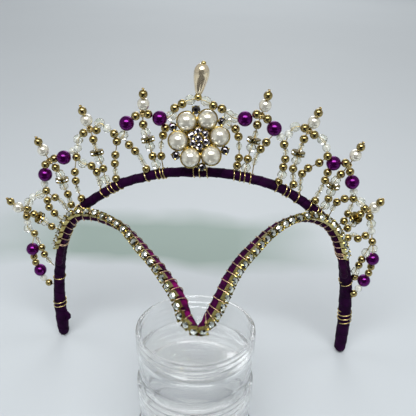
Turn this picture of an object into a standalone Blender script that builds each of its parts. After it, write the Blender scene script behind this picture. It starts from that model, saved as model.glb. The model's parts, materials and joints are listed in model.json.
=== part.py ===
"""Ballet headpiece: a beaded wire tiara on a ribbon-bound arch, with a pointed forehead band, on a clear jar stand.

The tables are in millimetres and the objects in metres. X runs across the head, -Y is the front, and the
floor is z = 0. The two ends of the arch and the lowest jar stand on the floor.
"""

import math

import bmesh
import bpy
from mathutils import Matrix, Vector

MM = 0.001
GAP = 0.3

# The arch over the head: its top leans forward over two upright legs.
ARCH_TOP_Z = 100.0
ARCH_TOP_Y = 28.0
LEG_Y = 45.0
FORWARD_LEAN = math.tan(math.radians(15))

WIRE_RADIUS = 0.35
LOOP_WIRE = 0.6
PEAK_RADIUS = 1.7
CHAIN_RADIUS = 1.3
CHAIN_LIFT = PEAK_RADIUS + GAP + CHAIN_RADIUS + 0.1
# Moves the tables' middle to the middle of the whole part's base.
TO_ORIGIN = (0.4, 0.65, 0.0)
BROOCH_CENTRE = Vector((2.2, 19.3, 117.4))
BROOCH_FACING = Vector((0.08, -0.95, 0.3)).normalized()
JAR_CENTRE = (6.0, -29.5)
JAR_PITCH = 20.96

# kind: radius across the string, half length along it, rings as (place along it, share of the radius)
BEADS = {
    "gold": (1.75, 1.75, ((0.0, 1.0),)),
    "crystal": (2.0, 2.0, ((0.0, 1.0),)),
    "pearl": (1.7, 1.7, ((-0.5, 0.88), (0.5, 0.88))),
    "finial": (2.5, 2.5, ((-0.55, 0.86), (0.55, 0.86))),
    "violet": (3.0, 3.0, ((-0.75, 0.66), (-0.28, 0.97), (0.28, 0.97), (0.75, 0.66))),
    "rondelle": (2.8, 0.9, ((-0.8, 1.0), (0.8, 1.0))),
    "wire": (WIRE_RADIUS, 0.0, ()),
    "cross": (WIRE_RADIUS, 0.0, ()),
}
CROSS_FORWARD = 1.15

# The arch's centre line from the left foot over the top to the right foot: x, z, radius.
ARCH = (
    (-68.9, 0.1, 2.2), (-69.0, 3.0, 2.6), (-69.3, 9.0, 2.95), (-69.5, 18, 2.85), (-69.3, 27, 2.7), (-67.8, 39, 2.5),
    (-64.7, 52, 2.35), (-61.7, 61.5, 2.3), (-57.4, 69.5, 2.2), (-50.2, 79, 2.1), (-42.2, 85.5, 2.0),
    (-32.6, 92, 2.0), (-23.7, 95.6, 2.0), (-12.7, 98.8, 2.0), (2.1, 100.0, 2.0), (14.5, 99.6, 2.0),
    (27.5, 96.8, 2.0), (36.1, 93.7, 2.0), (45.1, 88.0, 2.0), (54.5, 80.5, 2.1), (62.0, 71.3, 2.3),
    (66.6, 61, 2.4), (69.7, 49, 2.6), (71.8, 39, 2.9), (72.6, 30, 3.0), (73.2, 20, 3.0), (73.1, 9, 2.9),
    (73.0, 3.0, 2.8), (72.9, 0.1, 2.4),
)

# The stones' centre line on each arm of the forehead peak, from the tip back to the arch: x, y, z, and the
# direction in which the stones face.
PEAK_LEFT = (
    (5.1, -27.5, 59.4, -0.1, -0.96, -0.26), (0.1, -22.2, 60.4, -0.68, -0.66, 0.32),
    (-3.5, -15.7, 65.3, -0.6, -0.76, 0.25), (-8.8, -9.1, 69.5, -0.54, -0.74, 0.4),
    (-14.2, -3.1, 73.0, -0.51, -0.7, 0.5), (-19.6, 2.8, 75.2, -0.56, -0.65, 0.51),
    (-24.4, 8.8, 77.2, -0.46, -0.63, 0.62), (-29.8, 14.3, 79.5, -0.36, -0.64, 0.68),
    (-37.2, 19.8, 80.6, -0.27, -0.56, 0.78), (-45.3, 23.7, 80.9, -0.28, -0.49, 0.82),
    (-53.4, 26.0, 78.9, -0.55, -0.49, 0.68), (-58.8, 27.7, 72.6, -0.79, -0.51, 0.34),
    (-62.5, 30.3, 64.0, -0.81, -0.57, 0.16), (-64.5, 32.1, 59.7, -0.82, -0.55, 0.15),
)
PEAK_RIGHT = (
    (8.7, -27.5, 59.4, 0.1, -0.96, -0.26), (13.0, -22.2, 62.5, 0.76, -0.63, 0.14),
    (16.4, -16.2, 67.6, 0.82, -0.55, 0.17), (19.1, -10.2, 71.9, 0.79, -0.58, 0.2),
    (22.8, -4.7, 76.0, 0.73, -0.65, 0.19), (27.1, 0.8, 79.0, 0.71, -0.66, 0.26),
    (31.0, 6.3, 81.5, 0.63, -0.67, 0.4), (35.4, 11.3, 83.5, 0.55, -0.68, 0.48),
    (40.5, 16.3, 84.7, 0.48, -0.7, 0.53), (46.4, 20.3, 85.3, 0.45, -0.7, 0.56),
    (52.9, 23.8, 84.0, 0.55, -0.56, 0.62), (59.2, 26.8, 79.8, 0.69, -0.54, 0.49),
    (63.9, 28.3, 73.5, 0.78, -0.54, 0.31), (66.8, 30.2, 66.1, 0.82, -0.56, 0.15),
    (68.1, 31.5, 62.3, 0.82, -0.57, 0.08),
)
# Where each arm's ribbon runs on down the front of its leg.
PEAK_END_LEFT = ((-63.6, 35.3, 53.5), (-65.8, 37.5, 46.0))
PEAK_END_RIGHT = ((67.4, 34.7, 55.5), (69.3, 36.9, 47.5))

# The scalloped outer string of each side, from the top centre down to its leg: kind, x, z.
EDGE_LEFT = (
    ("pearl", -1.7, 132.6), ("gold", -4.5, 130.9), ("gold", -7.1, 128.9), ("crystal", -9.2, 126.0),
    ("violet", -13.2, 124.5), ("gold", -17.9, 125.9), ("cross", -20.3, 126.2), ("gold", -23.2, 125.0),
    ("violet", -27.1, 121.6), ("crystal", -29.3, 116.2), ("gold", -31.9, 113.1), ("gold", -32.5, 116.8),
    ("pearl", -35.3, 118.9), ("crystal", -37.9, 121.0), ("gold", -39.7, 118.1), ("cross", -42.4, 118.3),
    ("gold", -45.3, 116.4), ("crystal", -47.9, 113.3), ("pearl", -48.7, 109.2), ("gold", -49.9, 104.7),
    ("pearl", -52.3, 106.4), ("violet", -55.6, 104.6), ("gold", -59.3, 103.5), ("cross", -61.8, 102.3),
    ("gold", -64.0, 100.3), ("violet", -65.0, 95.2), ("pearl", -66.2, 90.4), ("gold", -66.1, 86.6),
    ("crystal", -69.3, 84.4), ("pearl", -72.7, 82.9), ("crystal", -75.3, 79.9), ("gold", -76.9, 76.3),
    ("cross", -77.7, 74.0), ("gold", -77.9, 71.7), ("pearl", -78.3, 68.2), ("crystal", -78.7, 64.6),
    ("gold", -76.2, 61.6), ("wire", -78.0, 56.5), ("violet", -78.9, 51.8), ("gold", -79.3, 46.9),
    ("gold", -79.2, 43.1), ("violet", -77.8, 38.2), ("pearl", -76.6, 33.4), ("wire", -73.6, 31.0),
)
EDGE_RIGHT = (
    ("pearl", 5.1, 132.4), ("gold", 7.9, 130.8), ("gold", 10.7, 129.2), ("pearl", 13.3, 127.4),
    ("crystal", 15.6, 124.8), ("violet", 19.8, 125.9), ("gold", 24.0, 127.6), ("cross", 26.3, 127.3),
    ("gold", 28.7, 125.9), ("violet", 31.7, 121.8), ("pearl", 34.4, 118.3), ("gold", 36.1, 114.9),
    ("pearl", 37.5, 119.6), ("crystal", 40.0, 122.9), ("gold", 43.2, 122.6), ("cross", 45.2, 121.6),
    ("gold", 47.5, 119.8), ("crystal", 50.9, 117.9), ("pearl", 53.0, 114.2), ("gold", 54.2, 110.0),
    ("violet", 57.3, 107.0), ("gold", 61.0, 107.5), ("cross", 63.0, 106.4), ("gold", 64.0, 103.3),
    ("violet", 65.6, 98.3), ("pearl", 67.0, 93.5), ("gold", 67.5, 89.7), ("crystal", 70.6, 88.1),
    ("gold", 73.1, 85.3), ("cross", 74.7, 83.3), ("gold", 75.8, 80.8), ("crystal", 77.2, 77.0),
    ("pearl", 78.0, 72.6), ("gold", 79.4, 66.9), ("crystal", 80.3, 62.6), ("violet", 80.9, 56.7),
    ("gold", 81.5, 51.7), ("gold", 81.1, 47.7), ("violet", 79.7, 42.7), ("pearl", 79.2, 37.8),
    ("gold", 79.4, 34.2), ("wire", 76.9, 31.5),
)

# The eight beaded stems from finial to foot, left side first: rows of kind, x, z. The foot is bound to the arch.
STEMS = {
    "stem_left_1": (
        ("gold", -19.5, 134.4), ("finial", -19.7, 130.4), ("wire", -20.3, 126.2), ("gold", -20.4, 121.4),
        ("crystal", -19.7, 117.7), ("rondelle", -19.0, 114.6), ("crystal", -18.3, 111.4), ("gold", -17.2, 106.8),
        ("crystal", -16.3, 102.9),
    ),
    "stem_left_2": (
        ("gold", -44.3, 126.1), ("finial", -43.3, 122.5), ("wire", -42.4, 118.3), ("gold", -41.6, 113.6),
        ("wire", -41.3, 110.3), ("rondelle", -40.9, 107.4), ("crystal", -40.2, 104.1), ("gold", -39.2, 99.5),
        ("crystal", -38.9, 94.2),
    ),
    "stem_left_3": (
        ("gold", -64.9, 111.1), ("finial", -63.7, 107.6), ("wire", -61.8, 102.3), ("gold", -59.7, 98.9),
        ("crystal", -58.4, 95.8), ("rondelle", -58.0, 92.9), ("crystal", -57.7, 89.8), ("gold", -56.6, 85.3),
        ("gold", -56.2, 79.5),
    ),
    "stem_left_4": (
        ("gold", -83.3, 79.4), ("finial", -81.0, 77.0), ("wire", -77.7, 74.0), ("gold", -74.2, 73.2),
        ("rondelle", -71.9, 71.2), ("crystal", -69.7, 68.9), ("gold", -67.2, 66.4),
    ),
    "stem_right_1": (
        ("gold", 28.3, 135.6), ("finial", 27.5, 131.7), ("wire", 26.3, 127.3), ("gold", 24.9, 123.2),
        ("wire", 24.4, 119.0), ("rondelle", 23.9, 116.2), ("crystal", 23.0, 112.9), ("gold", 21.9, 107.4),
        ("crystal", 21.2, 103.3),
    ),
    "stem_right_2": (
        ("gold", 47.9, 129.0), ("finial", 46.8, 125.5), ("wire", 45.2, 121.6), ("gold", 43.7, 117.7),
        ("wire", 42.9, 114.0), ("rondelle", 42.1, 111.1), ("crystal", 41.6, 107.8), ("gold", 40.7, 103.6),
        ("gold", 41.6, 95.9),
    ),
    "stem_right_3": (
        ("gold", 66.3, 114.8), ("finial", 65.0, 111.4), ("wire", 63.0, 106.4), ("gold", 60.3, 101.7),
        ("crystal", 58.9, 98.9), ("rondelle", 58.2, 96.0), ("crystal", 57.6, 92.9), ("gold", 57.0, 89.4),
        ("crystal", 56.1, 85.8),
    ),
    "stem_right_4": (
        ("gold", 78.6, 88.6), ("finial", 77.2, 86.0), ("wire", 74.7, 83.3), ("gold", 71.6, 81.9),
        ("rondelle", 70.0, 79.7), ("crystal", 68.7, 77.1), ("gold", 67.1, 74.3),
    ),
}

# Thin strands from a valley of the outer string down to the arch: rows of x, z.
STRANDS = {
    "strand_left_1": ((-12.1, 121.0), (-12.8, 117.4), (-13.8, 112.3), (-13.9, 107.0), (-13.2, 101.1)),
    "strand_left_2": ((-29.6, 113.6), (-27.0, 111.2), (-24.5, 107.6), (-22.2, 103.6), (-21.3, 98.7)),
    "strand_left_3": ((-32.1, 111.0), (-33.1, 106.6), (-33.7, 102.1), (-34.0, 98.1), (-33.6, 94.0)),
    "strand_left_4": ((-48.6, 102.7), (-46.7, 101.6), (-44.3, 100.3), (-42.3, 97.0), (-41.5, 88.6)),
    "strand_left_5": ((-50.5, 102.6), (-51.7, 97.2), (-52.0, 91.8), (-51.9, 86.5), (-51.2, 80.6)),
    "strand_left_6": ((-65.2, 84.6), (-63.6, 82.2), (-61.6, 79.2), (-58.0, 74.5), (-57.2, 72.5)),
    "strand_left_7": ((-66.6, 84.6), (-66.8, 80.8), (-65.3, 76.0), (-61.9, 71.0), (-60.0, 68.9)),
    "strand_left_8": ((-75.3, 59.2), (-75.2, 56.5), (-74.4, 52.0), (-73.4, 47.6), (-70.5, 42.0)),
    "strand_right_1": ((15.8, 122.8), (17.6, 118.6), (18.1, 113.3), (18.0, 107.7), (16.9, 101.6)),
    "strand_right_2": ((35.6, 112.8), (33.6, 109.0), (30.5, 104.6), (28.2, 101.6), (26.7, 99.3)),
    "strand_right_3": ((36.7, 112.8), (37.2, 108.1), (36.7, 103.8), (36.4, 100.3), (35.6, 96.2)),
    "strand_right_4": ((52.0, 108.9), (50.8, 107.2), (46.8, 103.8), (44.5, 99.8), (44.7, 90.6)),
    "strand_right_5": ((53.1, 107.5), (53.5, 103.3), (54.3, 98.3), (52.2, 93.1), (49.7, 86.9)),
    "strand_right_6": ((65.6, 88.3), (63.0, 87.2), (60.6, 84.2), (58.8, 80.6), (58.0, 78.7)),
    "strand_right_7": ((67.6, 87.5), (67.0, 84.6), (66.0, 81.5), (63.4, 76.5), (61.8, 74.5)),
    "strand_right_8": ((77.3, 66.8), (75.3, 68.3), (73.0, 67.8), (71.0, 67.0), (67.9, 65.3)),
    "strand_right_9": ((78.4, 60.8), (77.3, 56.1), (75.9, 52.2), (75.0, 47.5), (74.0, 42.8)),
}

LEG_BINDINGS = {"leg_binding_left": 17.0, "leg_binding_right": 16.0}

# One jar wall from the middle of its floor, up the inside, over the rim and down outside: radius, height.
JAR_OPEN = (
    (0, 10.5), (13.4, 10.5), (17.1, 11.8), (20.1, 15.0), (20.1, 20.66), (21.5, 20.66), (21.5, 13.0),
    (20.4, 9.9), (20.9, 6.4), (19.8, 0.0), (18.6, 0.0), (19.0, 8.5), (13.4, 9.3), (0, 9.3),
)
JAR_FLAT = (
    (0, 1.5), (18.4, 1.5), (20.1, 6.2), (20.1, 20.66), (21.5, 20.66), (21.5, 13.0), (20.4, 9.9), (20.9, 6.4),
    (19.8, 0.0), (0, 0.0),
)


def fan_y(z):
    """Depth of the arch and the beadwork at a height: leaning above, upright along the legs."""
    return min(ARCH_TOP_Y + FORWARD_LEAN * (ARCH_TOP_Z - z), LEG_Y)


def smooth(rows, spans):
    """Points along a smooth curve through the rows, with each column carried along."""
    points = [Vector(row) for row in rows]
    ends = [points[0] * 2 - points[1], *points, points[-1] * 2 - points[-2]]
    found = []
    for i in range(len(points) - 1):
        before, start, end, after = ends[i:i + 4]
        for step in range(spans):
            t = step / spans
            found.append(0.5 * (
                2 * start + (end - before) * t + (2 * before - 5 * start + 4 * end - after) * t ** 2
                + (3 * start - before - 3 * end + after) * t ** 3
            ))
    return found + [points[-1]]


def spaced(points, count):
    """Resample a line of points, whose first three columns are its place, at equal distances."""
    travel = [0.0]
    for a, b in zip(points, points[1:]):
        travel.append(travel[-1] + (Vector(b[:3]) - Vector(a[:3])).length)
    found, i = [], 0
    for k in range(count):
        goal = travel[-1] * k / (count - 1)
        while i < len(travel) - 2 and travel[i + 1] < goal:
            i += 1
        found.append(points[i].lerp(points[i + 1], (goal - travel[i]) / (travel[i + 1] - travel[i])))
    return found


def material(name, colour, roughness, metallic=0.0, transmission=0.0):
    made = bpy.data.materials.new(name)
    made.use_nodes = True
    shader = made.node_tree.nodes["Principled BSDF"]
    shader.inputs["Base Color"].default_value = (*colour, 1.0)
    shader.inputs["Roughness"].default_value = roughness
    shader.inputs["Metallic"].default_value = metallic
    shader.inputs["Transmission Weight"].default_value = transmission
    return made


def tube(name, rows, sides, surface, closed=False):
    """A round wire, ribbon roll or bead string: rows of x, y, z and radius."""
    curve = bpy.data.curves.new(name, "CURVE")
    curve.dimensions = "3D"
    curve.bevel_depth = MM
    curve.bevel_resolution = (sides - 4) // 2
    curve.use_fill_caps = not closed
    line = curve.splines.new("POLY")
    line.points.add(len(rows) - 1)
    line.use_cyclic_u = closed
    for point, (x, y, z, radius) in zip(line.points, rows):
        point.co = (x * MM, y * MM, z * MM, 1)
        point.radius = radius
    curve.materials.append(surface)
    made = bpy.data.objects.new(name, curve)
    pieces.objects.link(made)
    return made


def as_mesh(made):
    """Turn a tube into a closed mesh that a Boolean can join."""
    bpy.context.view_layer.update()
    mesh = bpy.data.meshes.new_from_object(made.evaluated_get(bpy.context.evaluated_depsgraph_get()))
    work = bmesh.new()
    work.from_mesh(mesh)
    bmesh.ops.remove_doubles(work, verts=work.verts, dist=1e-6)
    bmesh.ops.recalc_face_normals(work, faces=work.faces)
    work.to_mesh(mesh)
    work.free()
    name, surface = made.name, made.data.materials[0]
    bpy.data.objects.remove(made)
    return mesh_object(name, mesh, surface)


def mesh_object(name, mesh, surface):
    mesh.materials.clear()
    mesh.materials.append(surface)
    made = bpy.data.objects.new(name, mesh)
    pieces.objects.link(made)
    return made


def fuse(base, others):
    """Join the others to the base as one closed body."""
    for other in others:
        other.hide_render = True
        other.display_type = "WIRE"
        pieces.objects.unlink(other)
        cutters.objects.link(other)
        joint = base.modifiers.new("joined " + other.name, "BOOLEAN")
        joint.operation = "UNION"
        joint.use_self = True
        joint.object = other
    return base


def bead_string(items):
    """Rows of a tube whose radius swells at each bead: items of kind and place."""
    rows = []
    last = len(items) - 1
    for i, (kind, place) in enumerate(items):
        radius, half, rings = BEADS[kind]
        along = (items[min(i + 1, last)][1] - items[max(i - 1, 0)][1]).normalized()
        reach = [half, half]
        touching = [False, False]
        for side, j in ((0, i - 1), (1, i + 1)):
            if 0 <= j <= last:
                space = (items[j][1] - place).length
                other = BEADS[items[j][0]][1]
                if half and other and space < half + other + GAP:
                    reach[side] = space * half / (half + other)
                    touching[side] = True
        if not half:
            rows.append((*place, radius))
            continue
        if not touching[0]:
            rows.append((*(place - along * reach[0]), WIRE_RADIUS))
        for share, width in rings:
            rows.append((*(place + along * share * reach[share > 0]), radius * width))
        neck = place + along * reach[1]
        if touching[1]:
            neck = place.lerp(items[i + 1][1], reach[1] / (items[i + 1][1] - place).length)
        rows.append((*neck, WIRE_RADIUS * (2.0 if touching[1] else 1.0)))
    return rows


def on_fan(kind, x, z):
    """A bead's place on the leaning surface; an outer string crosses in front of a stem's wire."""
    return kind, Vector((x, fan_y(z) - (CROSS_FORWARD if kind == "cross" else 0.0), z))


def arch_near(place):
    """The arch's nearest centre point to a place, its direction there and its radius."""
    k = min(range(1, len(arch_line) - 1), key=lambda i: (Vector(arch_line[i][:3]) - place).length)
    centre = Vector(arch_line[k][:3])
    along = (Vector(arch_line[k + 1][:3]) - Vector(arch_line[k - 1][:3])).normalized()
    return centre, along, arch_line[k][3]


def loop_round(name, centre, along, radius, surface):
    """A closed wire loop round the arch, clear of the ribbon by the gap."""
    turn = along.to_track_quat("Z", "Y").to_matrix()
    span = radius + GAP + LOOP_WIRE
    rows = []
    for k in range(9):
        angle = math.tau * k / 9
        spot = centre + turn @ Vector((math.cos(angle), math.sin(angle), 0)) * span / math.cos(math.pi / 9)
        rows.append((*spot, LOOP_WIRE))
    return tube(name, rows, 4, surface, closed=True)


def beside_arch(place, reach):
    """The point at a reach from the arch's surface, on the side where the place is."""
    centre, along, radius = arch_near(place)
    out = (place - centre) - along * (place - centre).dot(along)
    return centre + out.normalized() * (radius + reach)


def bound_string(name, items, surface, looped=True):
    """A bead string that ends at the arch, its wire fused to a loop round the ribbon where there is room."""
    foot = beside_arch(items[-1][1], GAP + (LOOP_WIRE if looped else WIRE_RADIUS + 0.1))
    made = tube(name, bead_string([*items, ("wire", foot)]), 10, surface)
    if looped:
        made = fuse(as_mesh(made), [as_mesh(loop_round(name + "_loop", *arch_near(items[-1][1]), surface))])
    return made


def strand(name, rows):
    """A bare wire from under a valley bead to the arch's ribbon."""
    places = [Vector((x, fan_y(z), z)) for x, z in rows]
    places[-1] = beside_arch(places[-1], GAP + WIRE_RADIUS + 0.05)
    tube(name, [(*place, WIRE_RADIUS) for place in places], 6, gilt)


def solid(name, surface, build):
    """A mesh object from a function that fills a bmesh, in millimetres."""
    work = bmesh.new()
    build(work)
    bmesh.ops.scale(work, vec=(MM, MM, MM), verts=work.verts)
    mesh = bpy.data.meshes.new(name)
    work.to_mesh(mesh)
    work.free()
    return mesh_object(name, mesh, surface)


def cut_stone(work, frame, radius, height, sink=0.3):
    """A stone with eight crown facets and a flat table, its girdle at the frame's origin."""
    bmesh.ops.create_cone(
        work, cap_ends=True, segments=8, radius1=radius, radius2=radius * 0.55, depth=height + sink,
        matrix=frame @ Matrix.Translation((0, 0, (height - sink) / 2)),
    )


def facing(place, along, outward):
    """A frame at a place with its Z outward and its X as near as can be to along."""
    z = outward.normalized()
    y = z.cross(along).normalized()
    return Matrix.Translation(place) @ Matrix((y.cross(z), y, z)).transposed().to_4x4()


def stone_chain(name, arm):
    """The row of stones in cups along one arm, as a plain round bar of the same size."""
    line = spaced(smooth(arm, 6), 26)
    tube(name, [(*row[:3], CHAIN_RADIUS) for row in line], 6, gilt)


def turned(name, profile, place, steps, surface):
    """A profile of radius and height turned round a vertical axis."""
    mesh = bpy.data.meshes.new(name)
    work = bmesh.new()
    corners = [work.verts.new((radius * MM, 0, height * MM)) for radius, height in profile]
    for a, b in zip(corners, corners[1:]):
        work.edges.new((a, b))
    work.to_mesh(mesh)
    work.free()
    made = mesh_object(name, mesh, surface)
    made.location = [value * MM for value in place]
    turn = made.modifiers.new("turn", "SCREW")
    turn.steps = turn.render_steps = steps
    turn.use_merge_vertices = True
    turn.merge_threshold = 0.00001
    return made


def make_arch():
    rows = [(x, fan_y(z), z, radius) for x, z, radius in ARCH]
    tube("crown_arch", rows, 8, aubergine)
    return smooth(rows, 12)


def make_peak():
    """The pointed band's ribbon roll, under both rows of stones and down the front of each leg."""
    arms = []
    for arm, end in ((PEAK_LEFT, PEAK_END_LEFT), (PEAK_RIGHT, PEAK_END_RIGHT)):
        rows = [Vector(row[:3]) - Vector(row[3:]).normalized() * CHAIN_LIFT for row in arm]
        arms.append([*rows[1:], *(Vector(row) for row in end)])
    tip = Vector((6.9, -25.4, 56.6))
    line = [*reversed(arms[0]), tip, *arms[1]]
    tube("peak_band", [(*row, PEAK_RADIUS) for row in line], 8, aubergine)
    for side, spot in (("left", line[1]), ("right", line[-2])):
        centre, along, radius = arch_near(spot)
        make_lashing("lashing_" + side, centre, spot, along, radius)


def make_lashing(name, leg, band, along, radius):
    """A flat wire loop round both the leg and the band's end."""
    across = (band - leg) - along * (band - leg).dot(along)
    side = along.cross(across).normalized()
    out = across.normalized()
    span = radius + GAP + 0.45
    rows = []
    for k in range(14):
        angle = math.tau * k / 14
        shift = across if math.cos(angle) > 0 else Vector((0, 0, 0))
        spot = leg + shift + (out * math.cos(angle) + side * math.sin(angle)) * span * 1.04
        rows.append((*spot, 0.45))
    tube(name, rows, 4, gilt, closed=True)


def make_brooch():
    """Six large pearls round a stone cluster, six claw-set stones between them, and a stalk bound to the arch."""
    frame = facing(BROOCH_CENTRE, Vector((1, 0, 0)), BROOCH_FACING)

    def around(radius, degrees, lift):
        angle = math.radians(degrees)
        return frame @ Matrix.Translation((radius * math.cos(angle), radius * math.sin(angle), lift))

    def plate(work):
        bmesh.ops.create_cone(
            work, cap_ends=True, segments=18, radius1=10.4, radius2=10.7, depth=1.4,
            matrix=frame @ Matrix.Translation((0, 0, -2.6)),
        )

    def settings(work):
        for k in range(6):
            bmesh.ops.create_uvsphere(work, u_segments=10, v_segments=6, radius=4.0, matrix=around(8.5, 8 + 60 * k, 0))
            claw = around(11.3, 38 + 60 * k, 0)
            bmesh.ops.create_cone(
                work, cap_ends=True, segments=8, radius1=1.7, radius2=1.5, depth=3.0,
                matrix=claw @ Matrix.Translation((0, 0, -1.7)),
            )
            cut_stone(work, claw, 1.3, 0.8)
            cut_stone(work, around(3.0, 38 + 60 * k, 1.0), 1.3, 0.8)
        cut_stone(work, around(0, 0, 1.2), 1.5, 1.2)
        bmesh.ops.create_cone(
            work, cap_ends=True, segments=12, radius1=4.9, radius2=4.3, depth=3.6,
            matrix=frame @ Matrix.Translation((0, 0, -0.6)),
        )

    centre, along, radius = arch_near(Vector((2.2, 28.0, 100.0)))
    top = centre + Vector((0, -0.35, 0.94)).normalized() * (radius + GAP + LOOP_WIRE)
    back = frame @ Vector((0, -5.5, -2.6))
    stalk = tube("brooch_stalk", [(*back, 0.8), (2.2, 25.0, 107.0, 0.8), (*top, 0.8)], 6, gilt)
    base = solid("brooch", ivory, plate)
    return fuse(base, [
        solid("brooch_settings", ivory, settings), as_mesh(stalk),
        as_mesh(loop_round("brooch_loop", centre, along, radius, gilt)),
    ])


def make_drop():
    """The pear-shaped pearl over the brooch, its point down on a small gold bead."""
    foot = Vector((1.7, 18.9, 134.1))
    tip = Vector((3.7, 18.0, 148.7))
    along = (tip - foot).normalized()
    shape = (
        (-1.4, 0.5), (-0.7, 1.3), (0.7, 1.3), (1.4, 0.5), (2.5, 1.1), (5.1, 2.3), (7.9, 3.0), (10.1, 3.1),
        (12.1, 2.6), (13.4, 1.0), (14.0, 1.0), (14.7, 0.5),
    )
    tube("pearl_drop", [(*(foot + along * place), radius) for place, radius in shape], 12, ivory)


for old in list(bpy.data.objects):
    bpy.data.objects.remove(old)
pieces = bpy.data.collections.new("ballet_headpiece")
cutters = bpy.data.collections.new("joined_shapes")
bpy.context.scene.collection.children.link(pieces)
bpy.context.scene.collection.children.link(cutters)

aubergine = material("aubergine satin ribbon", (0.035, 0.008, 0.022), 0.5)
gilt = material("pale antique gold", (0.62, 0.50, 0.30), 0.35, metallic=1.0)
ivory = material("ivory pearl", (0.86, 0.80, 0.70), 0.25)
violet = material("violet pearl", (0.07, 0.012, 0.075), 0.25)
clear = material("clear plastic", (0.86, 0.90, 0.93), 0.08, transmission=0.9)

arch_line = make_arch()
make_peak()
stone_chain("stone_chain_left", PEAK_LEFT)
stone_chain("stone_chain_right", PEAK_RIGHT)
bound_string("edge_string_left", [on_fan(*row) for row in EDGE_LEFT], violet)
bound_string("edge_string_right", [on_fan(*row) for row in EDGE_RIGHT], violet)
for stem, rows in STEMS.items():
    bound_string(stem, [on_fan(*row) for row in rows], gilt, looped=not stem.endswith("4"))
for name, rows in STRANDS.items():
    strand(name, rows)
for binding, height in LEG_BINDINGS.items():
    side = -70.0 if "left" in binding else 73.2
    centre, along, radius = arch_near(Vector((side, LEG_Y, height)))
    loop_round(binding, centre, along, radius, gilt)
make_brooch()
make_drop()
for k, (jar, profile) in enumerate((("jar_base", JAR_FLAT), ("jar_middle", JAR_OPEN), ("jar_top", JAR_OPEN))):
    turned(jar, profile, (*JAR_CENTRE, JAR_PITCH * k), 20, clear)
frame = bpy.data.objects.new("frame", None)
frame.location = [value * MM for value in TO_ORIGIN]
bpy.context.scene.collection.objects.link(frame)
for made in [*pieces.objects, *cutters.objects]:
    made.parent = frame
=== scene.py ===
# %% [markdown]
# # A ballet headpiece on a clear jar stand
# A wire arch bound in dark purple ribbon carries a lace of gold, pearl and crystal beads with a pearl
# brooch in the middle. A second ribbon-bound wire comes forward to a point and carries a chain of clear
# stones. The point hangs in the mouth of a clear jar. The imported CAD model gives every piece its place, so
# it is loaded first.

# %% Load the frame
import json
import math

import bmesh
import bpy
from mathutils import Matrix, Vector

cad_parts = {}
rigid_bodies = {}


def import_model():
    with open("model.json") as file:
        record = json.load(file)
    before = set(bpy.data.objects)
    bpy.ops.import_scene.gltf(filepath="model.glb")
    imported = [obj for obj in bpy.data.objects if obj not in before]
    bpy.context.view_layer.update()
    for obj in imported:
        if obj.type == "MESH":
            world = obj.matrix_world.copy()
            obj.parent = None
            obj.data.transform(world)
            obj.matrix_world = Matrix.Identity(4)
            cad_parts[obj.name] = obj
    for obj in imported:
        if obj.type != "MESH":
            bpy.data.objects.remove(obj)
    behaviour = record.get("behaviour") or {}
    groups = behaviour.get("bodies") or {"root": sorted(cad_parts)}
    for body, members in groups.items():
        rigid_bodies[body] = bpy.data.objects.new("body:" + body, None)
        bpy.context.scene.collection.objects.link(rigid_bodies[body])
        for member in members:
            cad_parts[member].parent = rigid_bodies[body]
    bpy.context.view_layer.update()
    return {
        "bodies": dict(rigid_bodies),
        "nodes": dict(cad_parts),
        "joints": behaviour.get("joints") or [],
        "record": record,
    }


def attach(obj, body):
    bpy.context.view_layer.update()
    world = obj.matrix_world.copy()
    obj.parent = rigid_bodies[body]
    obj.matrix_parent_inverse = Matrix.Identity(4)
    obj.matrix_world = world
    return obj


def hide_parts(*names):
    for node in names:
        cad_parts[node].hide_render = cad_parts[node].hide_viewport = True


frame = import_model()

print("CAD nodes:", len(frame["nodes"]))

# %% [markdown]
# ## Measures
# Beads are sold in millimetres, so every table here is in millimetres, and a finished piece is scaled to
# metres once. The arch and its beads lie on one surface: above the ears it leans forward by 15 degrees, and
# along the legs it is upright, so a height is enough to find the depth.

# %% Units and the leaning surface
MM = 0.001
TO_ORIGIN = Vector((0.4, 0.65, 0.0))
ARCH_TOP_Z = 100.0
ARCH_TOP_Y = 28.0
LEG_Y = 45.0
LEAN = math.tan(math.radians(15))


def depth_at(z):
    return min(ARCH_TOP_Y + LEAN * (ARCH_TOP_Z - z), LEG_Y)


def on_fan(x, z, forward=0.0):
    """A place on the leaning surface of the arch and its beads."""
    return Vector((x, depth_at(z) - forward, z))


print("depth at the top of the arch:", depth_at(ARCH_TOP_Z), "mm, at the feet:", depth_at(0), "mm")

# %% [markdown]
# ## Into the scene
# A shape is worked on as a bmesh, which then becomes a mesh. A mesh, a curve, a camera or a lamp becomes an
# object. Both steps come often, so each has a name here, and so has a turn in degrees.

# %% Meshes, objects and turns
def mesh_of(work, name):
    """The bmesh as a mesh. The bmesh itself is let go."""
    mesh = bpy.data.meshes.new(name)
    work.to_mesh(mesh)
    work.free()
    return mesh


def added(name, data):
    """A new object, put into the scene."""
    made = bpy.data.objects.new(name, data)
    bpy.context.scene.collection.objects.link(made)
    return made


def rotation(degrees, axis):
    return Matrix.Rotation(math.radians(degrees), 4, axis)


# %% [markdown]
# ## Camera
# The photograph looks down on the headpiece by about 24 degrees from just right of its middle, from so near
# that the front point looks larger than the arch behind it. The camera has that place, turn and lens, so
# the picture can be laid over the photograph.

# %% The photograph's camera
PITCH = math.radians(24.3)
YAW = math.radians(3.665)
ROLL = math.radians(1.206)
CAMERA_PLACE = (0.02128, -0.2066, 0.19003)
FOCUS_PIXELS = 600.0
PICTURE_PIXELS = 416.0
SENSOR_WIDTH = 36.0

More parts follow.
